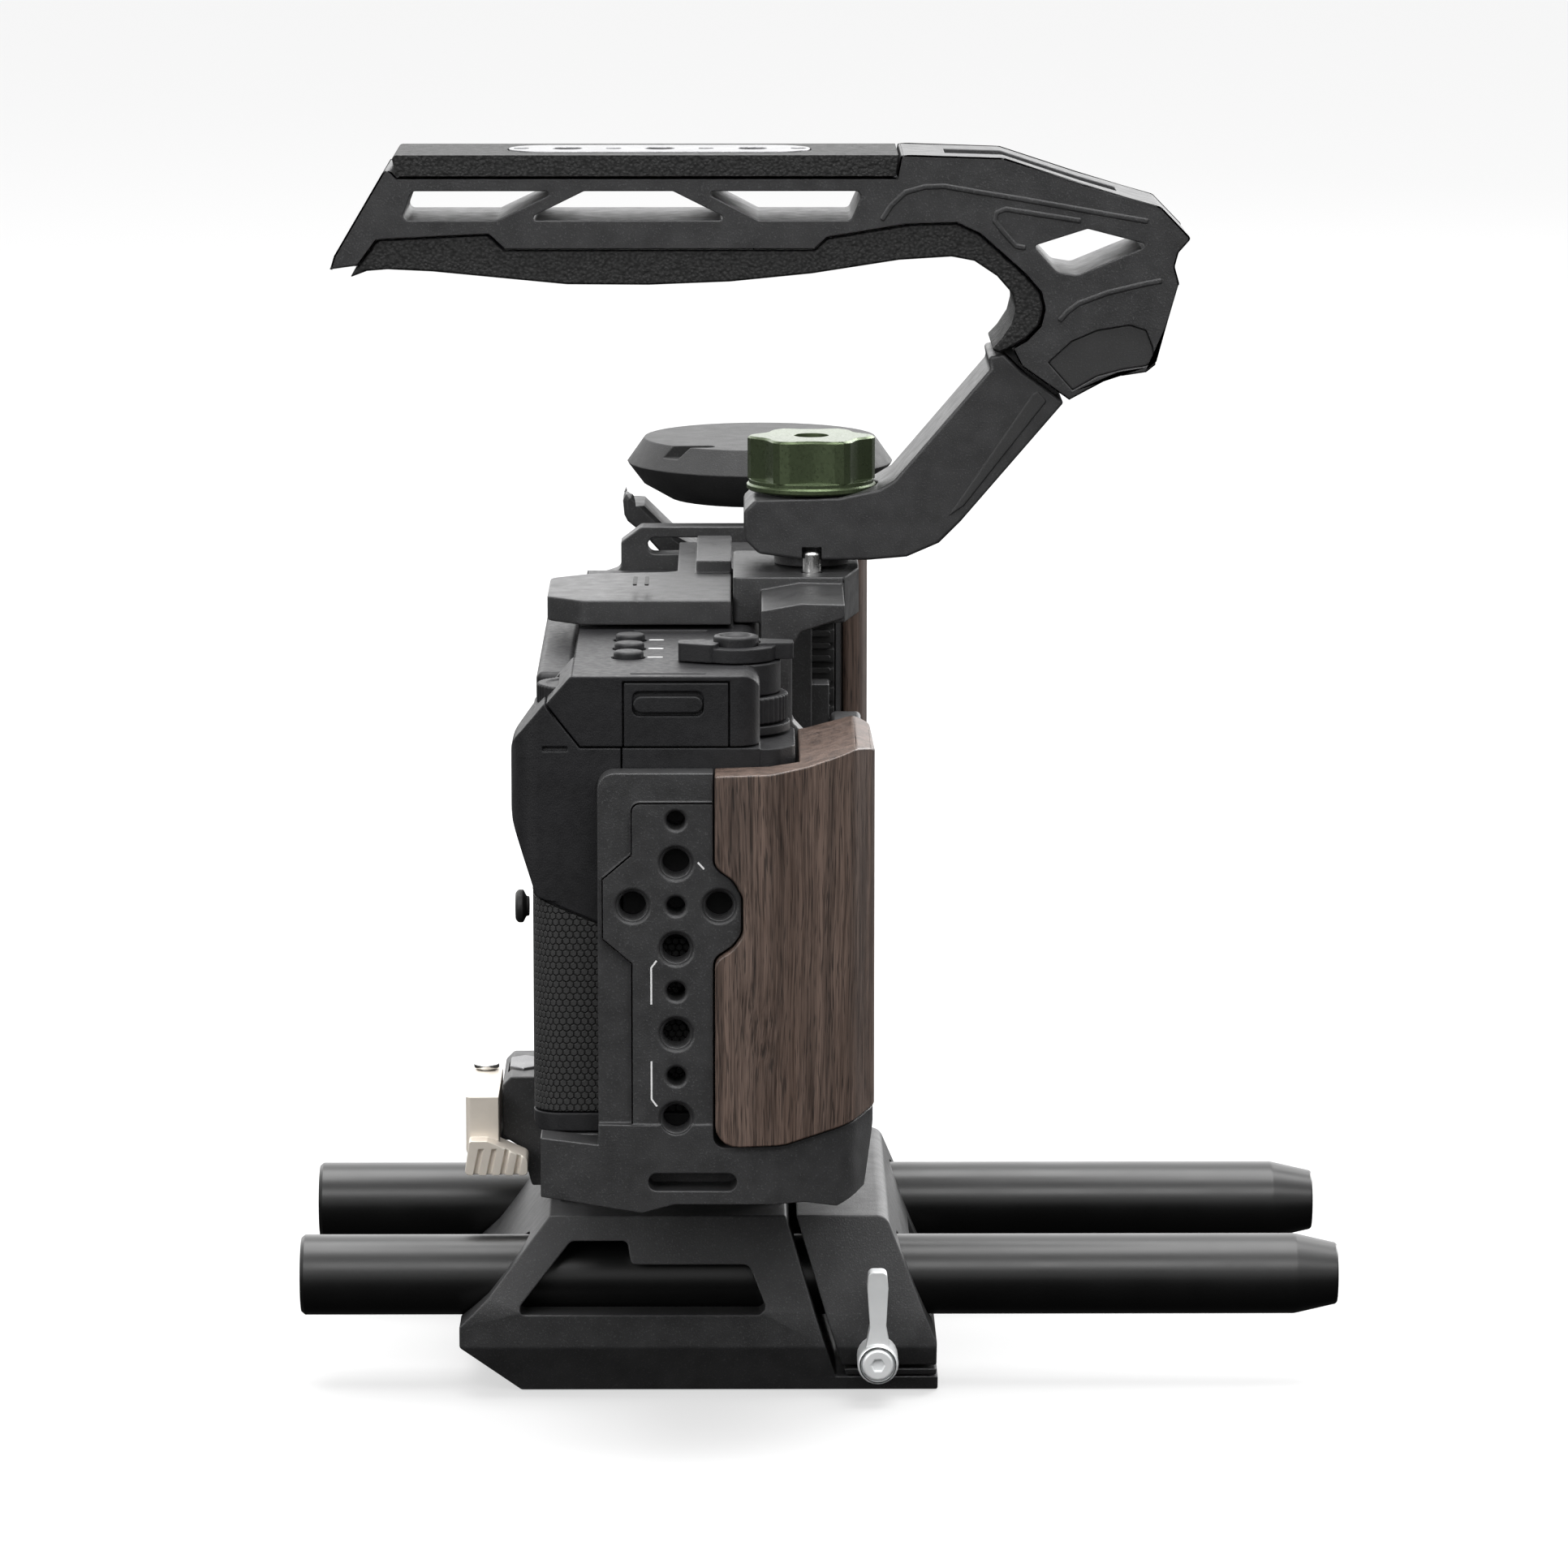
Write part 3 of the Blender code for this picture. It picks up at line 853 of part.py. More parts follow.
def make_top_handle():
    rise = BLOCK_TOP + 0.9
    half = HANDLE_HALF_WIDTH
    frame_line = HANDLE_OUTER + [(52.2, 38.0)] + beside(GRIP_TOP_EDGE, GAP)
    frame = prism('handle_frame', moved(frame_line, 0, rise), 'Y', -half, half)
    soften(frame, 1.2, 1, 25)
    windows = {
        'rear': [(-62.6, 65.0, 1.0), (-60.6, 70.4, 1.0), (-33.6, 70.4, 0.5), (-45.0, 65.0, 0.5)],
        'middle': [(-39.8, 65.0, 0.5), (-28.8, 70.4, 1.0), (-12.4, 70.4, 1.0), (-1.6, 65.0, 0.5)],
        'front': [(-7.0, 70.4, 0.5), (22.8, 70.4, 1.0), (20.4, 65.0, 1.0), (3.4, 65.0, 1.0)],
        'nose': [(54.1, 60.2, 0.6), (64.2, 63.4, 1.0), (75.0, 60.6, 0.6), (74.2, 59.7, 0.5),
                 (62.3, 54.8, 2.5),
                 (58.6, 55.4, 2.0)],
    }
    for label, window in windows.items():
        cut(frame, prism('window_' + label, moved(window, 0, rise), 'Y', -half - 5, half + 5, cutters))
    # the lower pad lies along the grip's underside and round the bend
    pad = prism('handle_lower_pad', moved(GRIP_TOP_EDGE + GRIP_LOW_EDGE, 0, rise), 'Y', -half + 0.6,
                half - 0.6)
    soften(pad, 1.6, 1, 25)
    strip = [(-63.4, 72.8 + GAP), (29.0 - GAP, 72.8 + GAP), (29.8 - 2 * GAP, 77.0), (-64.4, 77.0, 0.8)]
    top_pad = prism('handle_top_pad', moved(strip, 0, rise), 'Y', -half + 0.6, half - 0.6)
    soften(top_pad, 0.8, 1, 25)
    plate_low = rise + 75.6
    oval = [(-43.0, -7.5, 7.0), (13.0, -7.5, 7.0), (13.0, 7.5, 7.0), (-43.0, 7.5, 7.0)]
    grown = [(x + math.copysign(GAP, x + 15), y + math.copysign(GAP, y), r) for x, y, r in oval]
    cut(top_pad, prism('thread_plate_seat', grown, 'Z', plate_low - GAP, rise + 90, cutters))
    plate = prism('handle_thread_plate', oval, 'Z', plate_low, rise + 77.2)
    for index in range(7):
        radius = 2.9 if index % 2 else 1.6
        at = (-15.0 + (index - 3) * 8.6, 0, 0)
        cut(plate, rod(f'plate_hole_{index}', radius, plate_low - 5, rise + 90, at, '+Z', HOLE_STEPS,
                       cutters))

    channel = [(38.0, 74.8), (47.5, 74.4), (70.0, 67.6), (70.0, 90.0), (38.0, 90.0)]
    cut(frame, prism('nose_channel', moved(channel, 0, rise), 'Y', -5.0, 5.0, cutters))

    # a shallow seat on each side of the nose
    chin = [(57.0, 38.6), (61.4, 42.6), (66.1, 44.6), (72.1, 45.6), (75.2, 44.6), (76.4, 41.6),
            (76.9, 38.9), (75.2, 37.9), (70.7, 37.2), (66.2, 36.0), (61.6, 33.4)]
    chin_depth = 1.6
    for label, low, high in (('right', -half - 5, chin_depth - half), ('left', half - chin_depth, half + 5)):
        cut(frame, prism('chin_seat_' + label, moved(chin, 0, rise), 'Y', low, high, cutters))

    # neck: from the foot on the cage, up a slope, to the seam under the nose
    seam_gap = GAP + 0.1
    neck_line = [(46.0, 39.4), (46.4, 37.2), (28.6, 16.4), (25.6, 14.6, 1.0), (18.0, 13.0), (2.6, 12.6),
                 (0.6, 10.6),
                 (0.6, 5.4), (3.4, 2.6), (12.0, 1.4), (24.0, 1.4), (31.0, 2.0), (37.0, 4.6), (41.0, 8.6),
                 (60.2, 31.4 - seam_gap), (52.0, 37.4 - seam_gap), (48.8, 40.0)]
    neck = prism('handle_neck', moved(neck_line, 0, rise), 'Y', -NECK_HALF_WIDTH, NECK_HALF_WIDTH)
    soften(neck, 1.6, 1, 25)
    foot = rise + 1.4
    boss = rod('foot_boss', 7.0, BLOCK_TOP + GAP, foot + 3, (KNOB_X, 0, 0), '+Z', 32, cutters)
    join(neck, boss)
    cut(neck, rod('neck_bolt_bore', BOLT_RADIUS + GAP, BLOCK_TOP - 5, rise + 40, (KNOB_X, 0, 0), '+Z', 24,
                  cutters))
    for label, y in (('right', -10.9), ('left', 10.9)):
        cut(neck, rod('pin_way_' + label, 2.1, BLOCK_TOP - 5, HANDLE_FOOT + 2.4, (KNOB_X, y, 0), '+Z', 20,
                      cutters))

    knob_low = rise + 13.4
    outline = []
    lobe_steps = 7
    for index in range(KNOB_LOBES * lobe_steps):
        angle = 2 * math.pi * index / (KNOB_LOBES * lobe_steps)
        reach = KNOB_RADIUS - 1.1 + 1.1 * math.cos(KNOB_LOBES * angle)
        outline.append((KNOB_X + reach * math.cos(angle), reach * math.sin(angle)))
    knob = prism('handle_knob', outline, 'Z', knob_low + 1.6, knob_low + KNOB_HEIGHT)
    soften(knob, 0.5, 1, 60)
    join(knob, rod('knob_flange', KNOB_RADIUS - 0.2, knob_low, knob_low + 2.0, (KNOB_X, 0, 0), '+Z', 40,
                   cutters))
    cut(knob, rod('knob_bore', BOLT_RADIUS + GAP, knob_low - 5, knob_low + 30, (KNOB_X, 0, 0), '+Z', 24,
                  cutters))
    cut(neck, rod('knob_seat', KNOB_RADIUS + 0.6, knob_low - GAP, knob_low + 30, (KNOB_X, 0, 0), '+Z', 40,
                  cutters))
    bolt = rod('handle_bolt', BOLT_RADIUS, CAMERA_TOP + 1.2, knob_low + KNOB_HEIGHT - 2.0, (KNOB_X, 0, 0))
    cut(bolt, rod('bolt_socket', 1.8, knob_low + 5, knob_low + 30, (KNOB_X, 0, 0), '+Z', 6, cutters))
    coat(anodised(), frame, neck)
    coat(rubber(), pad, top_pad)
    coat(finish('grey_anodised', (0.2, 0.2, 0.21), 0.4, 0.8), plate)
    coat(green(), knob)
    coat(steel(), bolt)


# ---- side handle ---------------------------------------------------------------------
def make_side_handle(cage_left):
    rail_low = CAMERA_BOTTOM + 18
    rail_high = CAMERA_TOP - 12
    rail_out = cage_left + GAP + 4.0
    mid = 8.0
    rail_line = [(mid - 4.0, cage_left + GAP), (mid + 4.0, cage_left + GAP),
                 (mid + 4.0, cage_left + GAP + 1.2),
                 (mid + 6.0, cage_left + GAP + 3.0), (mid + 6.0, rail_out), (mid - 6.0, rail_out),
                 (mid - 6.0, cage_left + GAP + 3.0), (mid - 4.0, cage_left + GAP + 1.2)]
    rail = prism('side_rail', rail_line, 'Z', rail_low, rail_high)
    body_in = SIDE_HANDLE_Y - 13.0
    jaw_in = cage_left + GAP + 1.4
    jaw = [(mid - 9.5, jaw_in), (mid - 9.5, body_in - GAP), (mid + 9.5, body_in - GAP), (mid + 9.5, jaw_in)]
    clamp_low = CAMERA_BOTTOM + 34
    clamp_high = CAMERA_TOP - 24
    clamp = prism('side_clamp', jaw, 'Z', clamp_low, clamp_high)
    way = [(mid - 4.0 - RUN, cage_left - 5), (mid + 4.0 + RUN, cage_left - 5),
           (mid + 4.0 + RUN, cage_left + GAP + 1.2),
           (mid + 6.0 + RUN, cage_left + GAP + 3.0), (mid + 6.0 + RUN, rail_out + RUN),
           (mid - 6.0 - RUN, rail_out + RUN), (mid - 6.0 - RUN, cage_left + GAP + 3.0),
           (mid - 4.0 - RUN, cage_left + GAP + 1.2)]
    cut(clamp, prism('rail_way', way, 'Z', clamp_low - 5, clamp_high + 5, cutters))
    knob_z = (clamp_low + clamp_high) / 2
    knob_back = mid + 9.5 + GAP
    knob = rod('side_clamp_knob', SIDE_KNOB_RADIUS, knob_back, knob_back + 6.0,
               (0, body_in - SIDE_KNOB_RADIUS - 1.8, knob_z), '+X', 24,
               chamfer=0.6)

    plan = [(1.0, body_in, 3.0), (20.0, body_in, 3.0), (20.0, SIDE_HANDLE_Y + 13, 6.0),
            (1.0, SIDE_HANDLE_Y + 13, 6.0)]
    low = CAMERA_BOTTOM - 6
    cap_low = CAMERA_TOP + 10.6
    core = prism('side_handle_core', plan, 'Z', low, cap_low - GAP)
    front = [(20.0 + GAP, body_in + 1.5, 1.5), (24.4, body_in + 5.0, 5.0), (25.4, SIDE_HANDLE_Y, 5.0),
             (24.4, SIDE_HANDLE_Y + 9.5, 5.0), (20.0 + GAP, SIDE_HANDLE_Y + 12)]
    wood = prism('side_handle_wood', front, 'Z', low + 2, cap_low - 3.0)
    rib_x_low = 11.8
    rib_x_high = 18.6
    ribs_low = CAMERA_BOTTOM + 38
    ribs_high = CAMERA_TOP - 3
    cut(core, box('rib_seat', (rib_x_low - GAP, body_in - 5, ribs_low - GAP),
                  (rib_x_high + GAP, body_in + 1.8, ribs_high + GAP), cutters))
    cut(clamp, box('rib_clearance', (rib_x_low - 1, body_in - 2.4, ribs_low - 20),
                   (rib_x_high + 20, body_in + 5, ribs_high + 5), cutters))
    ribs = box('side_handle_ribs', (rib_x_low, body_in - 1.0, ribs_low),
               (rib_x_high, body_in + 1.8 - GAP, ribs_high))
    pitch = 3.9
    count = int((ribs_high - ribs_low) / pitch)
    for index in range(1, count + 1):
        z = ribs_low + index * pitch - 1.2
        cut(ribs, box(f'rib_groove_{index}', (rib_x_low - 5, body_in - 5, z),
                      (rib_x_high + 5, body_in, z + 1.2),
                      cutters))
    cap_at = (3.9, SIDE_HANDLE_Y, 0)
    rim = SIDE_CAP_RADIUS
    cap = turned('side_handle_cap', [(0.0, cap_low + 12.4), (rim - 3.4, cap_low + 12.0), (rim, cap_low + 7.2),
                                     (rim - 3.2, cap_low + 3.0), (rim - 8.5, cap_low), (0.0, cap_low)],
                 cap_at, '+Z', 40)
    slot = [(-18.0, -4.5, 1.5), (-5.0, -4.5, 1.5), (-5.0, -1.5, 1.5), (-18.0, -1.5, 1.5)]
    cut(cap, prism('cap_slot', moved(slot, 0, SIDE_HANDLE_Y - 14), 'Z', cap_low + 9.6, cap_low + 30, cutters))
    horn = [(1.0 - GAP, cap_low - 14.0), (1.0 - GAP, cap_low - 24.0), (-5.0, cap_low - 22.0),
            (-19.0, cap_low - 6.5),
            (-23.0, cap_low - 3.2), (-23.4, cap_low + 1.2), (-22.0, cap_low + 2.2), (-13.0, cap_low - 6.6)]
    rest = prism('side_handle_thumb_rest', horn, 'Y', SIDE_HANDLE_Y - 11, SIDE_HANDLE_Y + 5)
    soften(rest, 0.8, 1, 25)
    cut(rest, rod('cap_clearance', rim + 0.6, cap_low - 0.6, cap_low + 30, cap_at, '+Z', 40, cutters))
    coat(anodised(), rail, clamp, core, rest, knob)
    coat(walnut(), wood)
    coat(rubber(), ribs)
    coat(finish('cap_black', (0.03, 0.03, 0.032), 0.5, 0.2), cap)


def main():
    global parts, cutters
    for obj in list(bpy.data.objects):
        bpy.data.objects.remove(obj)
    parts = collection('cinema_camera_rig')
    cutters = collection('cutters')
    make_base()
    make_rods()
    make_clamp_lever()
    plate_top = make_quick_release()
    make_cage_right()
    cage_left = make_cage(plate_top)
    make_camera_shells()
    make_camera_controls()
    make_top_handle()
    make_side_handle(cage_left)


main()
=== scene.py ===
"""Looks of the cinema camera rig: finishes, fine detail, studio and camera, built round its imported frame."""

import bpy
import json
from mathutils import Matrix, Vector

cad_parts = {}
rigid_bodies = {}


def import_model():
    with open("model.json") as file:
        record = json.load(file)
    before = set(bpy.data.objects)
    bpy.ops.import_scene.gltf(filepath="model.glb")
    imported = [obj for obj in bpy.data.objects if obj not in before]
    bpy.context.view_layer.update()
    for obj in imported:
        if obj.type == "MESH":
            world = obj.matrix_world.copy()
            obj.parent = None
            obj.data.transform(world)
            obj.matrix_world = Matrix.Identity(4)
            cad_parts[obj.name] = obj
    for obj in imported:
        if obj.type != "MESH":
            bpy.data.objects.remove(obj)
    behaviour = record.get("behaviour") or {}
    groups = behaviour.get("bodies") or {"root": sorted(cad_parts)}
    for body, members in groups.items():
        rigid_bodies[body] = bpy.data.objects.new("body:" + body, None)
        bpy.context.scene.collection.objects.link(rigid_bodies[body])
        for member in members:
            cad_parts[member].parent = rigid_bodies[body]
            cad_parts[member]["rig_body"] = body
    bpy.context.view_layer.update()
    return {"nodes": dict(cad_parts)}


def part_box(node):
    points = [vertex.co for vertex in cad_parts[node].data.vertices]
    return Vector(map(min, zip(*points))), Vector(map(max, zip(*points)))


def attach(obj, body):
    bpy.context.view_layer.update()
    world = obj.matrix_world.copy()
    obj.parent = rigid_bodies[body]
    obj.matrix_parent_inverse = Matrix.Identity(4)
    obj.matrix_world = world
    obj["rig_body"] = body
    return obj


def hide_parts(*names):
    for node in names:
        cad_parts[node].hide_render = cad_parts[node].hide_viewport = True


bl_info = {
    "name": "Cinema Camera Rig",
    "version": (1, 0, 0),
    "blender": (4, 5, 0),
    "location": "3D View > Sidebar > Camera Rig",
    "description": "Dresses the rig's frame in its finished pieces and sets up the studio",
    "category": "Object",
}

import json
import math

import bmesh
import bpy
from bpy.props import FloatProperty, FloatVectorProperty, IntProperty, PointerProperty
from mathutils import Matrix, Vector

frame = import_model()
MM = 0.001

# Places and sizes of the frame's features that the details are laid out from, in mm.
HOLE_X = -11.5
HOLE_MIDDLE_Z = 101.3
HOLE_PITCH = 7.7
LARGE_HOLE = 2.85
SMALL_HOLE = 1.65
COUNTERSINK = 0.45
WALL_FACE = -88.0
ROD_Z = 20.2
ROD_BORE = 4.3
ROD_TIP = 5.75
LENS_Z = 100.0
MOUNT_THROAT = 22.6
MOUNT_OPENING = 25.4
MOUNT_SCREW_CIRCLE = 30.4
CONTACT_CIRCLE = 24.6

# Outlines of the handle's moulded details, and of a dark strip standing in for the shade along the neck's
# groove, as (x, z) points in mm.
NOSE_INSET = [(57.0, 189.6), (61.4, 193.6), (66.1, 195.6), (72.1, 196.6), (75.2, 195.6), (76.4, 192.6),
              (76.9, 189.9), (75.2, 188.9), (70.7, 188.2), (66.2, 187.0), (61.6, 184.4)]
HANDLE_RIDGES = (
    [(26.1, 216.0), (27.9, 218.8), (30.5, 221.2), (34.1, 222.2), (37.7, 222.3), (44.0, 221.2), (52.1, 219.9),
     (61.1, 218.3), (70.1, 216.7), (75.4, 215.8)],
    [(52.8, 210.9), (51.0, 211.2), (48.5, 214.0), (47.0, 215.9), (47.3, 217.4), (49.0, 218.1), (52.1, 217.6),
     (63.0, 215.9)],
    [(59.0, 197.3), (60.6, 199.1), (62.6, 200.6), (68.0, 202.6), (74.7, 204.2), (78.0, 204.8)],
)
# A dark strip laid on each side of the neck where its groove falls in shade: painted shade.
NECK_SHADE_STRIP = [(54.2, 183.6), (55.2, 184.2), (56.9, 182.2), (41.6, 162.6), (38.6, 160.6)]
NECK_GASKET = [(49.0, 192.4), (51.6, 189.9), (58.6, 183.2)]

# Printed lines on the wall beside the holes, as (x, z) points in mm.
GUIDE_LINES = ([(-14.95, 91.5), (-15.9, 90.2), (-15.9, 83.6)], [(-15.9, 73.3), (-15.9, 66.4), (-14.95, 65.1)],
               [(-7.6, 109.2), (-6.5, 108.0)])

# The studio, in metres and watts: each light's name, place, target, size and power.
LIGHTS = (
    ('overhead', (0.05, 0.15, 1.5), (0.0, 0.0, 0.12), (1.5, 1.1), 34.0),
    ('front_left', (-1.3, -1.6, 0.9), (0.0, 0.0, 0.12), (0.9, 0.9), 14.0),
    ('front_high', (0.35, -1.5, 1.3), (0.0, 0.0, 0.1), (1.7, 0.5), 16.0),
    ('rear_right', (1.2, 1.4, 0.9), (0.0, 0.0, 0.12), (0.8, 1.3), 22.0),
)
CAMERA_PLACE = (0.0, -1.3031, 0.3338)
CAMERA_PAN = -0.36
CAMERA_TILT = 9.83
CAMERA_LENS = 160.5
FLOOR_SIZE = 9.0
FLOOR_DROP = 0.0002


# ---- sizes and colours ---------------------------------------------------------------
def length(label, text, default):
    return FloatProperty(name=label, description=text, default=default * MM, min=0.0,
                         unit='LENGTH', subtype='DISTANCE', precision=5)


def colour(label, text, default):
    return FloatVectorProperty(name=label, description=text, default=default, min=0.0, max=1.0,
                               size=3, subtype='COLOR')


class RigSizes(bpy.types.PropertyGroup):
    edge: length("Edge break", "Width of the rounding on machined edges", 0.35)
    fine_edge: length("Fine edge break", "Width of the rounding on small pieces", 0.2)
    blast: length("Blast grain", "Size of the grains in the blasted metal", 0.3)
    cell: length("Grip cell", "Width of a hexagon in the camera's rubber skin", 1.3)
    leather: length("Pad grain", "Size of the pebbles in the handle pads", 0.55)
    ring: length("Wood ring", "Spacing of the broad bands in the walnut", 2.2)
    thread: length("Thread pitch", "Pitch of the threads in the large holes", 1.27)
    mark: length("Mark width", "Width of the printed guide lines", 0.32)
    knurls: IntProperty(name="Dial ridges", description="Ridges round the front dial", default=48, min=8)


class RigColours(bpy.types.PropertyGroup):
    metal: colour("Black metal", "Blasted and anodised aluminium", (0.040, 0.040, 0.041))
    camera: colour("Camera body", "Textured paint of the camera", (0.010, 0.010, 0.011))
    rubber: colour("Rubber", "Grips and pads", (0.014, 0.014, 0.014))
    rod: colour("Rods", "Hard anodised tubes", (0.004, 0.004, 0.004))
    wood_light: colour("Walnut, light", "Light bands of the grain", (0.145, 0.100, 0.080))
    wood_dark: colour("Walnut, dark", "Dark bands of the grain", (0.028, 0.018, 0.014))
    green: colour("Green", "Anodised knob", (0.095, 0.125, 0.066))
    champagne: colour("Champagne", "Anodised release lever", (0.840, 0.770, 0.680))
    silver: colour("Silver", "Satin clamp lever", (0.900, 0.920, 0.930))
    steel: colour("Steel", "Turned steel", (0.780, 0.780, 0.770))
    mark: colour("Marks", "Printed guide lines", (0.750, 0.750, 0.750))
    floor: colour("Floor", "Studio floor", (0.280, 0.280, 0.280))


# ---- finishes ------------------------------------------------------------------------
class Finish:
    """The nodes of one material, built round its Principled shader."""

    def __init__(self, name, roughness=0.5, metallic=0.0, **sockets):
        self.material = bpy.data.materials.new(name)
        self.material.use_nodes = True
        self.tree = self.material.node_tree
        self.shader = self.tree.nodes['Principled BSDF']
        self.shader.inputs['Roughness'].default_value = roughness
        self.shader.inputs['Metallic'].default_value = metallic
        for socket, value in sockets.items():
            self.shader.inputs[socket.replace('_', ' ')].default_value = value
        self.place = self.add('TexCoord').outputs['Object']

    def add(self, kind, feeds=(), **settings):
        """A node with its settings, and its inputs fed by number or by name."""
        node = self.tree.nodes.new('ShaderNode' + kind)
        for key, value in settings.items():
            setattr(node, key, value)
        for socket, value in dict(feeds).items():
            self.feed(node.inputs[socket], value)
        return node

    def feed(self, socket, value):
        if isinstance(value, bpy.types.NodeSocket):
            self.tree.links.new(value, socket)
        else:
            socket.default_value = value

    def set(self, socket, value):
        self.feed(self.shader.inputs[socket], value)

    def math(self, operation, *values):
        return self.add('Math', dict(enumerate(values)), operation=operation).outputs[0]

    def vector(self, operation, *values, output=0):
        return self.add('VectorMath', dict(enumerate(values)), operation=operation).outputs[output]

    def stretched(self, scale, place=None):
        """Coordinates with each axis scaled."""
        return self.add('Mapping', {'Vector': place or self.place, 'Scale': scale}).outputs[0]

    def scaled(self, value, factor):
        """A vector times a number."""
        return self.add('VectorMath', {0: value, 'Scale': factor}, operation='SCALE').outputs[0]

    def noise(self, size, detail=2.0, place=None, roughness=0.5):
        """Cloudy noise with features of about this size in metres."""
        feeds = {'Vector': place or self.place, 'Scale': 1.0 / size, 'Detail': detail, 'Roughness': roughness}
        return self.add('TexNoise', feeds).outputs['Fac']

    def cells(self, size, feature='F1'):
        return self.add('TexVoronoi', {'Vector': self.place, 'Scale': 1.0 / size},
                        feature=feature).outputs['Distance']

    def spread(self, value, low, high, to_low=0.0, to_high=1.0):
        """The value from low to high, mapped to another range."""
        return self.add('MapRange', {0: value, 1: low, 2: high, 3: to_low, 4: to_high}).outputs[0]

    def blend(self, factor, first, second):
        node = self.add('Mix', data_type='RGBA')
        self.feed(node.inputs[0], factor)
        for socket, value in ((node.inputs[6], first), (node.inputs[7], second)):
            self.feed(socket, value if isinstance(value, bpy.types.NodeSocket) else (*value, 1.0))
        return node.outputs[2]

    def relief(self, height, depth, strength=1.0, normal=None):
        """A bump of this depth in metres."""
        feeds = {'Height': height, 'Distance': depth, 'Strength': strength}
        if normal:
            feeds['Normal'] = normal
        return self.add('Bump', feeds).outputs[0]

    def edge_wear_and_highlight(self, width):
        """1 on rounded edges, 0 on flat faces: the mask that edges are painted lighter by, partly as wear and
        partly as a painted highlight.
        """
        rounded = self.add('Bevel', {'Radius': width}, samples=4)
        face = self.add('NewGeometry')
        level = self.vector('DOT_PRODUCT', rounded.outputs[0], face.outputs['Normal'], output=1)
        return self.spread(level, 0.998, 0.90), rounded.outputs[0]


def lighter(shade, factor):
    return tuple(min(1.0, channel * factor) for channel in shade)


def blasted_metal(name, shade, grain, edge, roughness=0.44, metallic=0.35):
    """Bead-blasted, anodised aluminium with painted glints in its grain, and edges painted brighter, partly as
    wear and partly as a painted highlight.
    """
    made = Finish(name, roughness, metallic)
    mask, rounded = made.edge_wear_and_highlight(edge)
    mottle = made.spread(made.noise(6.0 * MM, 4.0), 0.3, 0.7)
    # Painted glints: fine specks of the blast grain painted lighter.
    painted_glints = made.spread(made.noise(grain, 1.0), 0.60, 0.74)
    base = made.blend(mottle, lighter(shade, 0.85), lighter(shade, 1.15))
    base = made.blend(made.math('MULTIPLY', painted_glints, 0.5), base, lighter(shade, 2.6))
    # Rounded edges painted lighter: partly wear, partly a painted highlight.
    scuff_and_highlight = made.math('MULTIPLY', mask, made.spread(made.noise(1.5 * MM, 4.0), 0.35, 0.7, 0.35, 0.8))
    made.set('Base Color', made.blend(scuff_and_highlight, base, lighter(shade, 2.4)))
    rub = made.spread(made.noise(3.0 * MM, 4.0), 0.3, 0.7, roughness - 0.05, roughness + 0.06)
    made.set('Roughness', made.math('SUBTRACT', rub, made.math('MULTIPLY', mask, 0.12)))
    made.set('Normal', made.relief(made.noise(grain, 2.0), 0.06 * MM, 0.75, rounded))
    return made.material


def camera_paint(shade):
    """Fine wrinkle paint of the camera body."""
    made = Finish('camera_black', 0.5, 0.0, Specular_IOR_Level=0.32)
    mask, rounded = made.edge_wear_and_highlight(0.4 * MM)
    mottle = made.spread(made.noise(6.0 * MM, 3.0), 0.35, 0.65)
    base = made.blend(mottle, lighter(shade, 0.85), lighter(shade, 1.2))
    # Rounded edges painted lighter: a painted highlight, partly wear.
    made.set('Base Color', made.blend(made.math('MULTIPLY', mask, 0.6), base, lighter(shade, 2.2)))
    made.set('Roughness', made.spread(made.noise(1.2 * MM, 4.0), 0.3, 0.7, 0.42, 0.56))
    pebbles = made.math('ADD', made.noise(0.28 * MM, 2.0), made.cells(0.35 * MM))
    made.set('Normal', made.relief(pebbles, 0.035 * MM, 0.5, rounded))
    return made.material


def hexagon_rubber(shade, cell):
    """Rubber skin moulded in small hexagons, laid round the camera's end."""
    made = Finish('black_rubber', 0.6, 0.0, Specular_IOR_Level=0.4)
    flat = made.add('SeparateXYZ', {0: made.place})
    round_end = made.math('SUBTRACT', flat.outputs['X'], flat.outputs['Y'])
    plane = made.add('CombineXYZ', {0: round_end, 1: flat.outputs['Z'], 2: 0.0}).outputs[0]
    plane = made.scaled(plane, 1.0 / cell)
    row = 0.8660254
    high, low = (0.5, row, 1.0), (-0.5, -row, -1.0)
    first = made.vector('WRAP', plane, high, low)
    second = made.vector('WRAP', made.vector('SUBTRACT', plane, (0.5, row, 0.0)), high, low)
    reach = [made.vector('LENGTH', part, output=1) for part in (first, second)]
    nearer = made.add('Mix', {0: made.math('GREATER_THAN', reach[0], reach[1])}, data_type='VECTOR')
    made.feed(nearer.inputs[4], first)
    made.feed(nearer.inputs[5], second)
    local = made.vector('ABSOLUTE', nearer.outputs[1])
    slanted = made.vector('DOT_PRODUCT', local, (0.5, row, 0.0), output=1)
    straight = made.add('SeparateXYZ', {0: local}).outputs['X']
    edge = made.math('MAXIMUM', slanted, straight)
    dome = made.spread(edge, 0.49, 0.36)
    # Painted shade and light: the grooves between the cells painted near black, the cell tops painted lighter.
    made.set('Base Color', made.blend(dome, lighter(shade, 0.12), lighter(shade, 1.9)))
    grit = made.noise(0.16 * MM, 2.0)
    made.set('Roughness', made.spread(grit, 0.3, 0.7, 0.5, 0.68))
    made.set('Normal', made.relief(made.math('ADD', dome, made.math('MULTIPLY', grit, 0.15)), 0.22 * MM, 1.0))
    return made.material


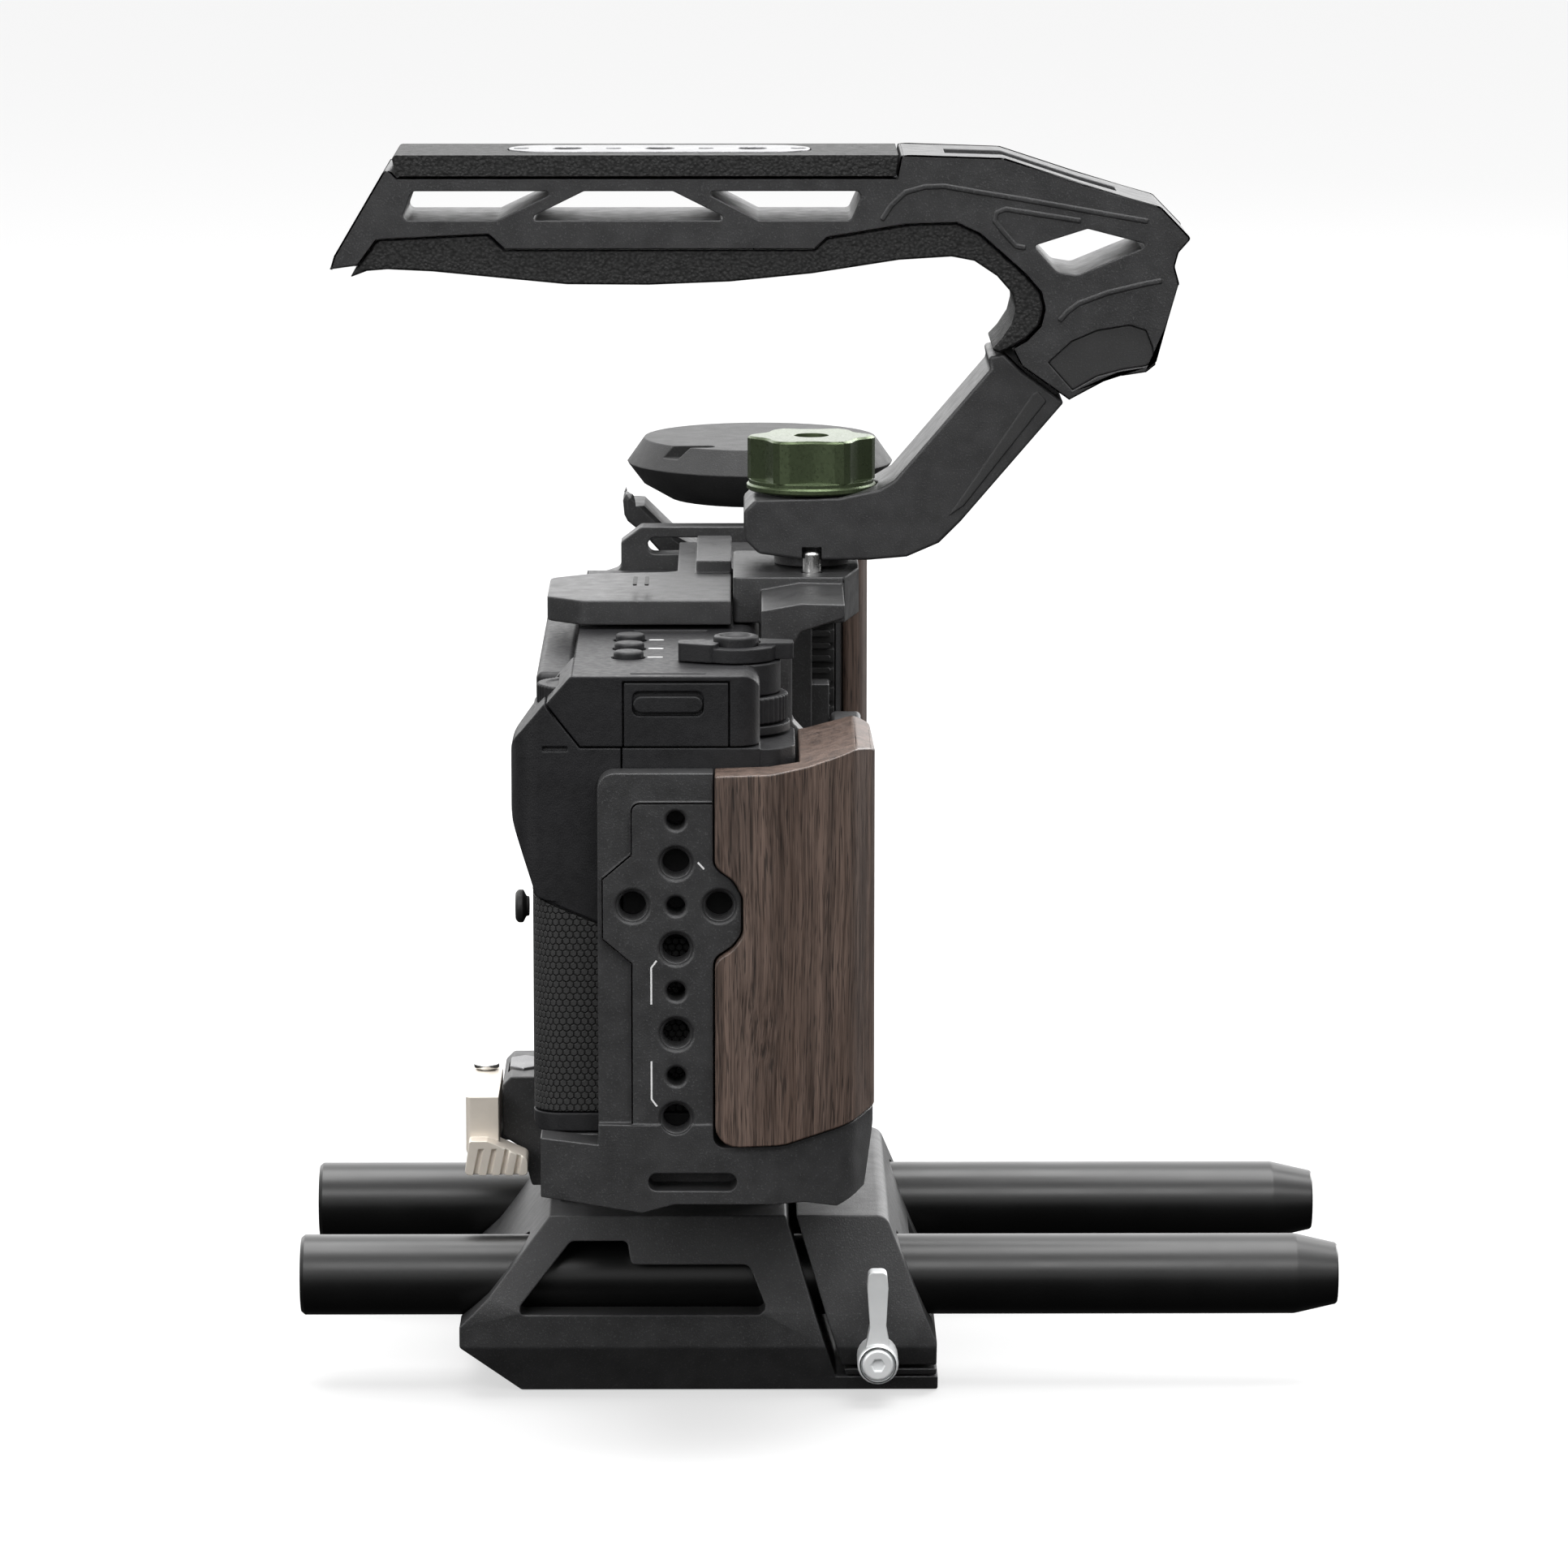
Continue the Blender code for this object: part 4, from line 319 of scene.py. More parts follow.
def pad_rubber(name, shade, grain):
    """Moulded rubber with a leathery pebble."""
    made = Finish(name, 0.66, 0.0, Specular_IOR_Level=0.35)
    pebbles = made.cells(grain, 'SMOOTH_F1')
    # Painted shade in the creases between the pebbles, and painted highlight on their tops.
    crease_shade = made.spread(pebbles, 0.15, 0.6)
    made.set('Base Color', made.blend(crease_shade, lighter(shade, 1.8), lighter(shade, 0.4)))
    made.set('Roughness', made.spread(made.noise(2.0 * MM, 3.0), 0.3, 0.7, 0.58, 0.74))
    height = made.math('SUBTRACT', made.math('MULTIPLY', made.noise(0.5 * grain, 3.0), 0.6), pebbles)
    made.set('Normal', made.relief(height, 0.2 * MM, 0.9))
    return made.material


def plain_rubber(shade):
    """Smooth moulded rubber for covers and ribs."""
    made = Finish('smooth_rubber', 0.55, 0.0, Specular_IOR_Level=0.4)
    made.set('Base Color', made.blend(made.noise(4.0 * MM, 3.0), lighter(shade, 0.8), lighter(shade, 1.4)))
    made.set('Roughness', made.spread(made.noise(1.0 * MM, 3.0), 0.3, 0.7, 0.48, 0.62))
    made.set('Normal', made.relief(made.noise(0.2 * MM, 2.0), 0.02 * MM, 0.4))
    return made.material


def walnut(light, dark, ring):
    """Oiled walnut with upright grain, dark streaks and open pores."""
    made = Finish('walnut', 0.42, 0.0, Specular_IOR_Level=0.55)
    drift = made.noise(22.0 * MM, 2.0, made.stretched((1.0, 1.0, 0.35)))
    wander = made.scaled(made.add('CombineXYZ', {0: drift, 1: drift, 2: 0.0}).outputs[0], 5.0 * MM)
    bent = made.vector('ADD', made.place, wander)
    along = made.stretched((1.0, 1.0, 0.018), bent)
    bands = made.noise(ring, 4.0, along, 0.6)
    fibres = made.noise(0.32 * MM, 3.0, along, 0.75)
    tone = made.math('ADD', made.math('MULTIPLY', bands, 0.5), made.math('MULTIPLY', fibres, 0.5))
    base = made.blend(made.spread(tone, 0.40, 0.60), dark, light)
    warm = made.spread(made.noise(14.0 * MM, 2.0, along), 0.35, 0.7, 0.0, 0.35)
    russet = tuple(share * (pale + deep) for share, pale, deep in zip((0.5, 0.42, 0.36), light, dark))
    base = made.blend(warm, base, russet)
    pores = made.stretched((1.0, 1.0, 0.04), bent)
    pits = made.spread(made.noise(0.22 * MM, 1.0, pores), 0.57, 0.66)
    base = made.blend(made.math('MULTIPLY', pits, 0.75), base, lighter(dark, 0.35))
    made.set('Base Color', base)
    made.set('Roughness', made.spread(fibres, 0.3, 0.7, 0.36, 0.52))
    height = made.math('SUBTRACT', made.math('MULTIPLY', fibres, 0.5), pits)
    made.set('Normal', made.relief(height, 0.05 * MM, 0.5))
    return made.material


def hard_tube(shade):
    """Hard anodised tube: smooth satin with a faint cloudiness."""
    made = Finish('rod_black', 0.32, 0.0, Specular_IOR_Level=0.5)
    smear = made.noise(14.0 * MM, 3.0)
    grain = made.noise(0.12 * MM, 2.0)
    made.set('Base Color', made.blend(smear, lighter(shade, 0.85), lighter(shade, 1.3)))
    made.set('Roughness', made.spread(smear, 0.3, 0.7, 0.30, 0.37))
    made.set('Normal', made.relief(grain, 0.003 * MM, 0.3))
    return made.material


def turned_metal(name, shade, roughness, metallic=1.0, grain=0.12):
    """Bright turned or tumbled metal."""
    made = Finish(name, roughness, metallic)
    mask, rounded = made.edge_wear_and_highlight(0.2 * MM)
    lathe = made.noise(grain * MM, 2.0)
    cloud = made.noise(5.0 * MM, 3.0)
    base = made.blend(cloud, lighter(shade, 0.86), lighter(shade, 1.1))
    # Rounded edges painted lighter: partly wear, partly a painted highlight.
    made.set('Base Color', made.blend(made.math('MULTIPLY', mask, 0.5), base, lighter(shade, 1.35)))
    made.set('Roughness', made.spread(lathe, 0.3, 0.7, roughness - 0.04, roughness + 0.08))
    made.set('Normal', made.relief(lathe, 0.002 * MM, 0.25, rounded))
    return made.material


def coated_glass():
    """Dark coated glass with faint dust."""
    made = Finish('dark_glass', 0.06, 0.0, Coat_Weight=0.6, Coat_Roughness=0.03)
    tint = made.noise(30.0 * MM, 1.0)
    made.set('Base Color', made.blend(tint, (0.004, 0.005, 0.008), (0.010, 0.009, 0.014)))
    made.set('Roughness', made.spread(made.noise(2.0 * MM, 4.0), 0.4, 0.8, 0.04, 0.12))
    return made.material


def printed_mark(shade):
    """White screen print, slightly uneven."""
    made = Finish('printed_mark', 0.55)
    made.set('Base Color', made.blend(made.noise(0.5 * MM, 3.0), lighter(shade, 0.85), shade))
    return made.material


def studio_floor(shade):
    """Pale matt floor, lifted to the brightness of the backdrop."""
    made = Finish('studio_floor', 0.9, 0.0, Specular_IOR_Level=0.0, Emission_Strength=0.56)
    made.set('Base Color', made.blend(made.noise(0.4, 2.0), lighter(shade, 0.995), shade))
    made.set('Emission Color', (1.0, 1.0, 1.0, 1.0))
    return made.material


FINISHES = {}


def make_finishes(sizes, colours):
    """Every finish of the rig, by name."""
    metal = tuple(colours.metal)
    rubber = tuple(colours.rubber)
    FINISHES.update({
        'black_anodised': blasted_metal('black_anodised', metal, sizes.blast, 0.35 * MM),
        'camera_black': camera_paint(tuple(colours.camera)),
        'black_rubber': hexagon_rubber(rubber, sizes.cell),
        'pad_rubber': pad_rubber('pad_rubber', rubber, sizes.leather),
        'smooth_rubber': plain_rubber(rubber),
        'walnut': walnut(tuple(colours.wood_light), tuple(colours.wood_dark), sizes.ring),
        'rod_black': hard_tube(tuple(colours.rod)),
        'bright_steel': turned_metal('bright_steel', tuple(colours.steel), 0.2),
        'satin_silver': turned_metal('satin_silver', tuple(colours.silver), 0.34, 0.35, 0.25),
        'champagne': turned_metal('champagne', tuple(colours.champagne), 0.38, 0.3, 0.25),
        'green_anodised': turned_metal('green_anodised', tuple(colours.green), 0.3, 0.75, 0.5),
        'grey_anodised': blasted_metal('grey_anodised', (0.2, 0.2, 0.205), sizes.blast, 0.3 * MM, 0.4, 0.7),
        'dark_glass': coated_glass(),
        'battery_grey': blasted_metal('battery_grey', (0.05, 0.05, 0.055), 0.4 * MM, 0.3 * MM, 0.5, 0.0),
        'cap_black': blasted_metal('cap_black', lighter(metal, 0.5), sizes.blast, 0.4 * MM, 0.66, 0.0),
        'brass_pins': turned_metal('brass_pins', (0.75, 0.56, 0.24), 0.25),
        'printed_mark': printed_mark(tuple(colours.mark)),
        'studio_floor': studio_floor(tuple(colours.floor)),
    })


# ---- shaping -------------------------------------------------------------------------
def shade(body, sharp_angle):
    """Smooth shading that breaks at edges sharper than the angle."""
    for face in body.faces:
        face.smooth = True
    limit = math.radians(sharp_angle)
    for edge in body.edges:
        edge.smooth = edge.is_manifold and edge.calc_face_angle(0.0) < limit


def add_piece(name, body, finish, rides, stands_for=(), sharp_angle=32.0):
    """A finished piece from a bmesh, riding on its CAD body; printed marks have no slot of their own."""
    shade(body, sharp_angle)
    mesh = bpy.data.meshes.new(name)
    body.to_mesh(mesh)
    body.free()
    obj = bpy.data.objects.new(name, mesh)
    bpy.context.scene.collection.objects.link(obj)
    mesh.materials.append(FINISHES[finish])
    weigh = obj.modifiers.new('even_faces', 'WEIGHTED_NORMAL')
    weigh.keep_sharp = True
    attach(obj, rides)
    if stands_for:
        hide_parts(*stands_for)
    return obj


def flat_merged(node):
    """A bmesh copy of a CAD node with its flat faces whole."""
    body = bmesh.new()
    body.from_mesh(frame["nodes"][node].data)
    bmesh.ops.remove_doubles(body, verts=body.verts, dist=2e-6)
    bmesh.ops.dissolve_limit(body, angle_limit=math.radians(1.5), verts=body.verts, edges=body.edges,
                             use_dissolve_boundaries=False)
    return body


def machined(node, finish, width, segments=2, angle=24.0, clamp=True, countersinks=()):
    """A CAD node's shape with its sharp edges rounded, and its holes countersunk."""
    body = flat_merged(node)
    if countersinks:
        countersink(body, countersinks, COUNTERSINK * MM)
    edges = [edge for edge in body.edges
             if edge.is_manifold and edge.calc_face_angle(0.0) > math.radians(angle)]
    bmesh.ops.bevel(body, geom=edges, offset=width, offset_type='OFFSET', segments=segments, profile=0.5,
                    affect='EDGES', clamp_overlap=clamp, material=-1)
    bmesh.ops.recalc_face_normals(body, faces=body.faces)
    rides = frame["nodes"][node]["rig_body"]
    return add_piece(node + '_finished', body, finish, rides, (node,))


def in_bore(vert, hole):
    """Whether a vertex lies on a round hole's wall; a hole is its (x, z, radius) in mm."""
    x, z, radius = hole
    return abs(math.hypot(vert.co.x - x * MM, vert.co.z - z * MM) - radius * MM) < 0.03 * MM


def countersink(body, holes, width):
    """Opens the rims of round holes in the wall's outer face to 45 degrees, and fills that face anew."""
    face_y = WALL_FACE * MM
    for hole in holes:
        bore = [face for face in body.faces if all(in_bore(vert, hole) for vert in face.verts)]
        around = {item for face in bore for item in (*face.verts, *face.edges, face)}
        bmesh.ops.bisect_plane(body, geom=list(around), dist=1e-7, plane_co=(0.0, face_y + width, 0.0),
                               plane_no=(0.0, 1.0, 0.0))
        x, z, radius = hole
        for vert in body.verts:
            if abs(vert.co.y - face_y) < 1e-5 and in_bore(vert, hole):
                vert.co.x += (vert.co.x - x * MM) * width / (radius * MM)
                vert.co.z += (vert.co.z - z * MM) * width / (radius * MM)
    outer = [face for face in body.faces
             if all(abs(vert.co.y - face_y) < 1e-5 for vert in face.verts) and face.normal.y < -0.99]
    bmesh.ops.delete(body, geom=outer, context='FACES')
    open_edges = [edge for edge in body.edges if edge.is_boundary]
    bmesh.ops.triangle_fill(body, use_beauty=True, use_dissolve=False, edges=open_edges,
                            normal=(0.0, -1.0, 0.0))


def turned(body, profile, at, axis, steps=64, closed=False):
    """Spins (radius, height) pairs in mm round an axis through a point, into a bmesh."""
    turn = {'X': Matrix.Rotation(math.pi / 2, 3, 'Y'), 'Y': Matrix.Rotation(-math.pi / 2, 3, 'X'),
            'Z': Matrix.Identity(3)}[axis]
    points = [body.verts.new(turn @ Vector((radius, 0.0, height)) * MM + Vector(at) * MM)
              for radius, height in profile]
    lines = [body.edges.new(pair) for pair in zip(points, points[1:])]
    if closed:
        lines.append(body.edges.new((points[-1], points[0])))
    direction = turn @ Vector((0.0, 0.0, 1.0))
    bmesh.ops.spin(body, geom=points + lines, cent=Vector(at) * MM, axis=direction, dvec=(0, 0, 0),
                   angle=2 * math.pi, steps=steps, use_merge=True, use_duplicate=False)
    bmesh.ops.remove_doubles(body, verts=body.verts, dist=1e-6)
    bmesh.ops.recalc_face_normals(body, faces=body.faces)


def spun(name, profile, at, axis, finish, rides, steps=64, stands_for=(), closed=False):
    """A turned piece from (radius, height) pairs in mm."""
    body = bmesh.new()
    turned(body, profile, at, axis, steps, closed)
    return add_piece(name, body, finish, rides, stands_for)


def plate(body, outline, axis, low, high, edge=0.0, segments=2):
    """An outline in mm made a plate between two heights along an axis, with its outer edges rounded."""
    place = {'X': lambda a, b, h: (h, a, b), 'Y': lambda a, b, h: (a, h, b),
             'Z': lambda a, b, h: (a, b, h)}[axis]
    corners = [body.verts.new(Vector(place(first, second, low)) * MM) for first, second in outline]
    face = body.faces.new(corners)
    grown = bmesh.ops.extrude_face_region(body, geom=[face])['geom']
    raised = [item for item in grown if isinstance(item, bmesh.types.BMVert)]
    bmesh.ops.translate(body, verts=raised, vec=Vector(place(0.0, 0.0, high - low)) * MM)
    faces = {face for vert in corners + raised for face in vert.link_faces}
    if edge:
        edges = {item for side in faces for item in side.edges if item.calc_face_angle(0.0) > math.radians(24)}
        bmesh.ops.bevel(body, geom=list(edges), offset=edge * MM, offset_type='OFFSET', segments=segments,
                        profile=0.5, affect='EDGES', clamp_overlap=True, material=-1)
    bmesh.ops.recalc_face_normals(body, faces=body.faces)


def stroke(points, width):
    """The outline of a line of this width through points, with mitred corners."""
    left, right = [], []
    for index, point in enumerate(points):
        before = points[max(index - 1, 0)]
        after = points[min(index + 1, len(points) - 1)]
        run = (Vector(point) - Vector(before)).normalized() + (Vector(after) - Vector(point)).normalized()
        across = Vector((-run.y, run.x)).normalized() * width / 2
        left.append(tuple(Vector(point) + across))
        right.append(tuple(Vector(point) - across))
    return left + right[::-1]


def oval(middle, half, radius, corners=6):
    """A slot's outline, from its middle, half its straight run each way and its end radius."""
    points = []
    for quarter, (side, rise) in enumerate(((1, 1), (-1, 1), (-1, -1), (1, -1))):
        for step in range(corners + 1):
            turn = math.pi / 2 * (quarter + step / corners)
            points.append((middle[0] + side * half[0] + radius * math.cos(turn),
                           middle[1] + rise * half[1] + radius * math.sin(turn)))
    return points


def round_lens(radius, degrees):
    """A point at this radius and angle about the lens axis, as (y, z) in mm."""
    turn = math.radians(degrees)
    return radius * math.cos(turn), LENS_Z + radius * math.sin(turn)


def lens_arc(inner, outer, start, sweep=60, steps=12):
    """The outline of part of a ring about the lens axis, from a start angle over a sweep in degrees."""
    angles = [start + sweep * step / steps for step in range(steps + 1)]
    return ([round_lens(outer, angle) for angle in angles]
            + [round_lens(inner, angle) for angle in angles[::-1]])


def knurled(node, finish, teeth, depth, rounding):
    """A dial in place of a CAD node, with even teeth round its rim."""
    low, high = (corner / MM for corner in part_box(node))
    middle, radius = (low + high) / 2, (high.x - low.x) / 2
    body = bmesh.new()
    profile = [(0.0, low.z), (radius - rounding, low.z), (radius, low.z + rounding),
               (radius, high.z - rounding), (radius - rounding, high.z), (radius - 1.6, high.z),
               (radius - 1.9, high.z - 0.25), (0.0, high.z - 0.25)]
    turned(body, profile, (middle.x, middle.y, 0.0), 'Z', teeth * 4)
    for vert in body.verts:
        arm = Vector((vert.co.x - middle.x * MM, vert.co.y - middle.y * MM))
        phase = math.atan2(arm.y, arm.x) / (2 * math.pi) * teeth % 1.0
        if arm.length > (radius - 1.2) * MM and 0.3 < phase < 0.9:
            pulled = arm * (1.0 - depth * MM / arm.length)
            vert.co.x, vert.co.y = middle.x * MM + pulled.x, middle.y * MM + pulled.y
    add_piece(node + '_finished', body, finish, node, (node,))


# ---- operators -----------------------------------------------------------------------
class RigOperator:
    """What the rig's operators share."""
    bl_options = {'REGISTER', 'UNDO'}

    def execute(self, context):
        self.make(context.scene.rig_sizes, context.scene.rig_colours)
        return {'FINISHED'}


class RIG_OT_finishes(RigOperator, bpy.types.Operator):
    """Make the rig's materials"""
    bl_idname = "rig.finishes"
    bl_label = "Finishes"

    def make(self, sizes, colours):
        make_finishes(sizes, colours)


class RIG_OT_rods(RigOperator, bpy.types.Operator):
    """Dress the two rods"""
    bl_idname = "rig.rods"
    bl_label = "Rods"

    def make(self, sizes, colours):
        for node in ('rod_right', 'rod_left'):
            low, high = (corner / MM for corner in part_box(node))
            middle = (low.y + high.y) / 2
            radius = (high.z - low.z) / 2
            profile = [(0.0, high.x - 3.0), (ROD_BORE - 0.4, high.x - 3.0), (ROD_BORE, high.x - 0.4),
                       (ROD_BORE + 0.4, high.x), (ROD_TIP - 0.3, high.x), (ROD_TIP, high.x - 0.3),
                       (radius - 0.1, high.x - 7.6), (radius, high.x - 8.2), (radius, low.x + 0.7),
                       (radius - 0.6, low.x), (ROD_BORE + 0.4, low.x), (ROD_BORE, low.x + 0.4),
                       (ROD_BORE - 0.4, low.x + 3.0), (0.0, low.x + 3.0)]
            spun(node + '_finished', profile, (0.0, middle, ROD_Z), 'X', 'rod_black', node,
                 96, (node,))


class RIG_OT_base(RigOperator, bpy.types.Operator):
    """Dress the rod base, its clamp and the clamp lever"""
    bl_idname = "rig.base"
    bl_label = "Rod base"

    def make(self, sizes, colours):
        machined('rod_base', 'black_anodised', sizes.edge, clamp=False)
        machined('rod_clamp', 'black_anodised', sizes.edge, clamp=False)
        machined('tripod_insert', 'bright_steel', sizes.fine_edge)
        machined('clamp_lever', 'satin_silver', sizes.fine_edge, clamp=False)
        machined('clamp_lever_screw', 'satin_silver', sizes.fine_edge)


class RIG_OT_quick_release(RigOperator, bpy.types.Operator):
    """Dress the quick release, its lever and its plate"""
    bl_idname = "rig.quick_release"
    bl_label = "Quick release"

    def make(self, sizes, colours):
        machined('qr_receiver', 'black_anodised', sizes.edge, clamp=False)
        machined('qr_plate', 'black_anodised', sizes.edge)
        machined('qr_lever', 'champagne', sizes.fine_edge, clamp=False)
        machined('qr_lever_pin', 'bright_steel', sizes.fine_edge)
        machined('qr_release_button', 'grey_anodised', sizes.fine_edge)


class RIG_OT_cage(RigOperator, bpy.types.Operator):
    """Dress the cage round the camera"""
    bl_idname = "rig.cage"
    bl_label = "Cage"

    def make(self, sizes, colours):
        column = [(HOLE_X, HOLE_MIDDLE_Z + index * HOLE_PITCH, LARGE_HOLE if index % 2 else SMALL_HOLE)
                  for index in range(-5, 3)]
        column += [(HOLE_X + side * HOLE_PITCH, HOLE_MIDDLE_Z, LARGE_HOLE) for side in (-1, 1)]
        machined('cage_right_wall', 'black_anodised', sizes.fine_edge, clamp=False, countersinks=column)
        threads = bmesh.new()
        pitch = sizes.thread / MM
        for x, z, radius in column:
            if radius == LARGE_HOLE:
                ridges = [(radius - (0.1, 0.45)[side], 0.7 + pitch * (turn + side / 2))
                          for turn in range(4) for side in (0, 1)]
                profile = [(radius + 0.02, 0.6), *ridges, (radius + 0.02, 0.7 + pitch * 4)]
                turned(threads, profile, (x, WALL_FACE, z), 'Y', 36, True)
        add_piece('wall_threads', threads, 'black_anodised', 'camera')
        marks = bmesh.new()
        for line in GUIDE_LINES:
            plate(marks, stroke(line, sizes.mark / MM), 'Y', WALL_FACE - 0.03, WALL_FACE + 0.1)
        add_piece('wall_marks', marks, 'printed_mark', 'camera')
        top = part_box('cage_top_plate')[1].z / MM
        ticks = bmesh.new()
        for x in (-19.6, -17.4):
            plate(ticks, oval((x, -15.0), (0.0, 4.6), 0.38), 'Z', top - 0.2, top + 0.12, 0.1, 1)
        add_piece('plate_ticks', ticks, 'smooth_rubber', 'camera')
        for node in ('cage_bottom_plate', 'cage_front_post', 'cage_top_block', 'cage_top_plate',
                     'cage_left_wall', 'side_rail'):
            machined(node, 'black_anodised', sizes.edge, clamp=False)
        for node in ('locating_pin_right', 'locating_pin_left'):
            machined(node, 'bright_steel', sizes.fine_edge)


class RIG_OT_wood_grip(RigOperator, bpy.types.Operator):
    """Dress the walnut grip at the camera's end"""
    bl_idname = "rig.wood_grip"
    bl_label = "Walnut grip"

    def make(self, sizes, colours):
        machined('wood_grip', 'walnut', sizes.edge, segments=3, angle=30, clamp=False)


class RIG_OT_camera(RigOperator, bpy.types.Operator):
    """Dress the camera's shells, skin, battery and doors"""
    bl_idname = "rig.camera"
    bl_label = "Camera body"

    def make(self, sizes, colours):
        for node in ('rear_cover', 'top_cover', 'strap_lug_panel', 'battery_door'):
            machined(node, 'camera_black', sizes.fine_edge, clamp=False)
        machined('front_shell', 'camera_black', sizes.fine_edge)
        machined('grip_rubber', 'black_rubber', sizes.fine_edge)
        machined('port_cover', 'smooth_rubber', sizes.fine_edge)
        machined('battery', 'battery_grey', sizes.fine_edge)
        machined('image_sensor', 'dark_glass', sizes.fine_edge)
        machined('lens_mount_ring', 'bright_steel', sizes.fine_edge)
        machined('lens_release_button', 'camera_black', sizes.fine_edge)
        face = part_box('lens_mount_ring')[1].x / MM
        tabs = bmesh.new()
        for start in (10, 130, 250):
            plate(tabs, lens_arc(MOUNT_OPENING, 27.9, start), 'X', face - 2.6, face - 1.2, 0.15)
        add_piece('bayonet_tabs', tabs, 'bright_steel', 'camera')
        screws = bmesh.new()
        screw = [(0.0, -0.25), (0.55, -0.25), (0.6, 0.12), (1.1, 0.18), (1.25, -0.1), (1.25, -0.5), (0.0, -0.5)]
        for index in range(6):
            turned(screws, screw, (face, *round_lens(MOUNT_SCREW_CIRCLE, 30 + 60 * index)), 'X', 20)
        add_piece('mount_screws', screws, 'bright_steel', 'camera')
        strip = bmesh.new()
        plate(strip, lens_arc(MOUNT_THROAT, 26.6, 240), 'X', face - 6.0, face - 3.2, 0.2)
        add_piece('contact_strip', strip, 'smooth_rubber', 'camera')
        contacts = bmesh.new()
        pin = [(0.0, 0.4), (0.45, 0.32), (0.6, 0.0), (0.6, -0.2), (0.0, -0.2)]
        for index in range(10):
            turned(contacts, pin, (face - 3.3, *round_lens(CONTACT_CIRCLE, 247.5 + 5 * index)), 'X', 16)
        add_piece('contacts', contacts, 'brass_pins', 'camera')
        dot = bmesh.new()
        turned(dot, [(0.0, 0.06), (0.85, 0.06), (0.9, 0.0), (0.9, -0.1), (0.0, -0.1)],
               (face, 0.0, LENS_Z + MOUNT_SCREW_CIRCLE), 'X', 24)
        add_piece('mount_dot', dot, 'printed_mark', 'camera')


class RIG_OT_monitor(RigOperator, bpy.types.Operator):
    """Dress the swinging monitor"""
    bl_idname = "rig.monitor"
    bl_label = "Monitor"

    def make(self, sizes, colours):
        machined('monitor', 'camera_black', sizes.edge)
        machined('monitor_hinge', 'camera_black', sizes.edge)
        machined('monitor_glass', 'dark_glass', sizes.fine_edge)


class RIG_OT_controls(RigOperator, bpy.types.Operator):
    """Dress the buttons, dials and switches"""
    bl_idname = "rig.controls"
    bl_label = "Controls"

    def make(self, sizes, colours):
        for node in ('power_switch', 'top_button_1', 'top_button_2', 'top_button_3'):
            machined(node, 'camera_black', sizes.fine_edge)
        knurled('front_dial', 'camera_black', sizes.knurls, 0.3, 0.3)
        knurled('rear_dial', 'camera_black', sizes.knurls, 0.25, 0.25)
        low, high = (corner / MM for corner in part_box('shutter_button'))
        middle, radius, top = (low + high) / 2, (high.x - low.x) / 2, high.z
        profile = [(0.0, top - 0.75), (1.6, top - 0.68), (2.4, top - 0.45), (2.75, top - 0.1), (3.0, top),
                   (radius - 0.5, top), (radius - 0.15, top - 0.12), (radius, top - 0.45), (radius, low.z),
                   (0.0, low.z)]
        spun('shutter_button_finished', profile, (middle.x, middle.y, 0.0), 'Z', 'camera_black',
             'shutter_button', 64, ('shutter_button',))
        machined('joystick', 'smooth_rubber', sizes.fine_edge)
        cover_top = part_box('top_cover')[1].z / MM
        labels = bmesh.new()
        for index in (1, 2, 3):
            low, high = (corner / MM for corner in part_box(f'top_button_{index}'))
            plate(labels, oval((-15.4, (low.y + high.y) / 2), (1.0, 0.0), 0.4), 'Z', cover_top - 0.1,
                  cover_top + 0.03)
        add_piece('button_labels', labels, 'printed_mark', 'camera')
        slot = bmesh.new()
        plate(slot, oval((-13.0, -27.5), (6.0, 0.0), 0.6), 'Z', cover_top - 0.1, cover_top + 0.04)
        add_piece('top_slot', slot, 'smooth_rubber', 'camera')
        bar = bmesh.new()
        plate(bar, oval((-12.9, 136.2), (4.7, 0.0), 1.45), 'Y', -79.0, -80.4, 0.7, 4)
        add_piece('lug_bar', bar, 'camera_black', 'camera')


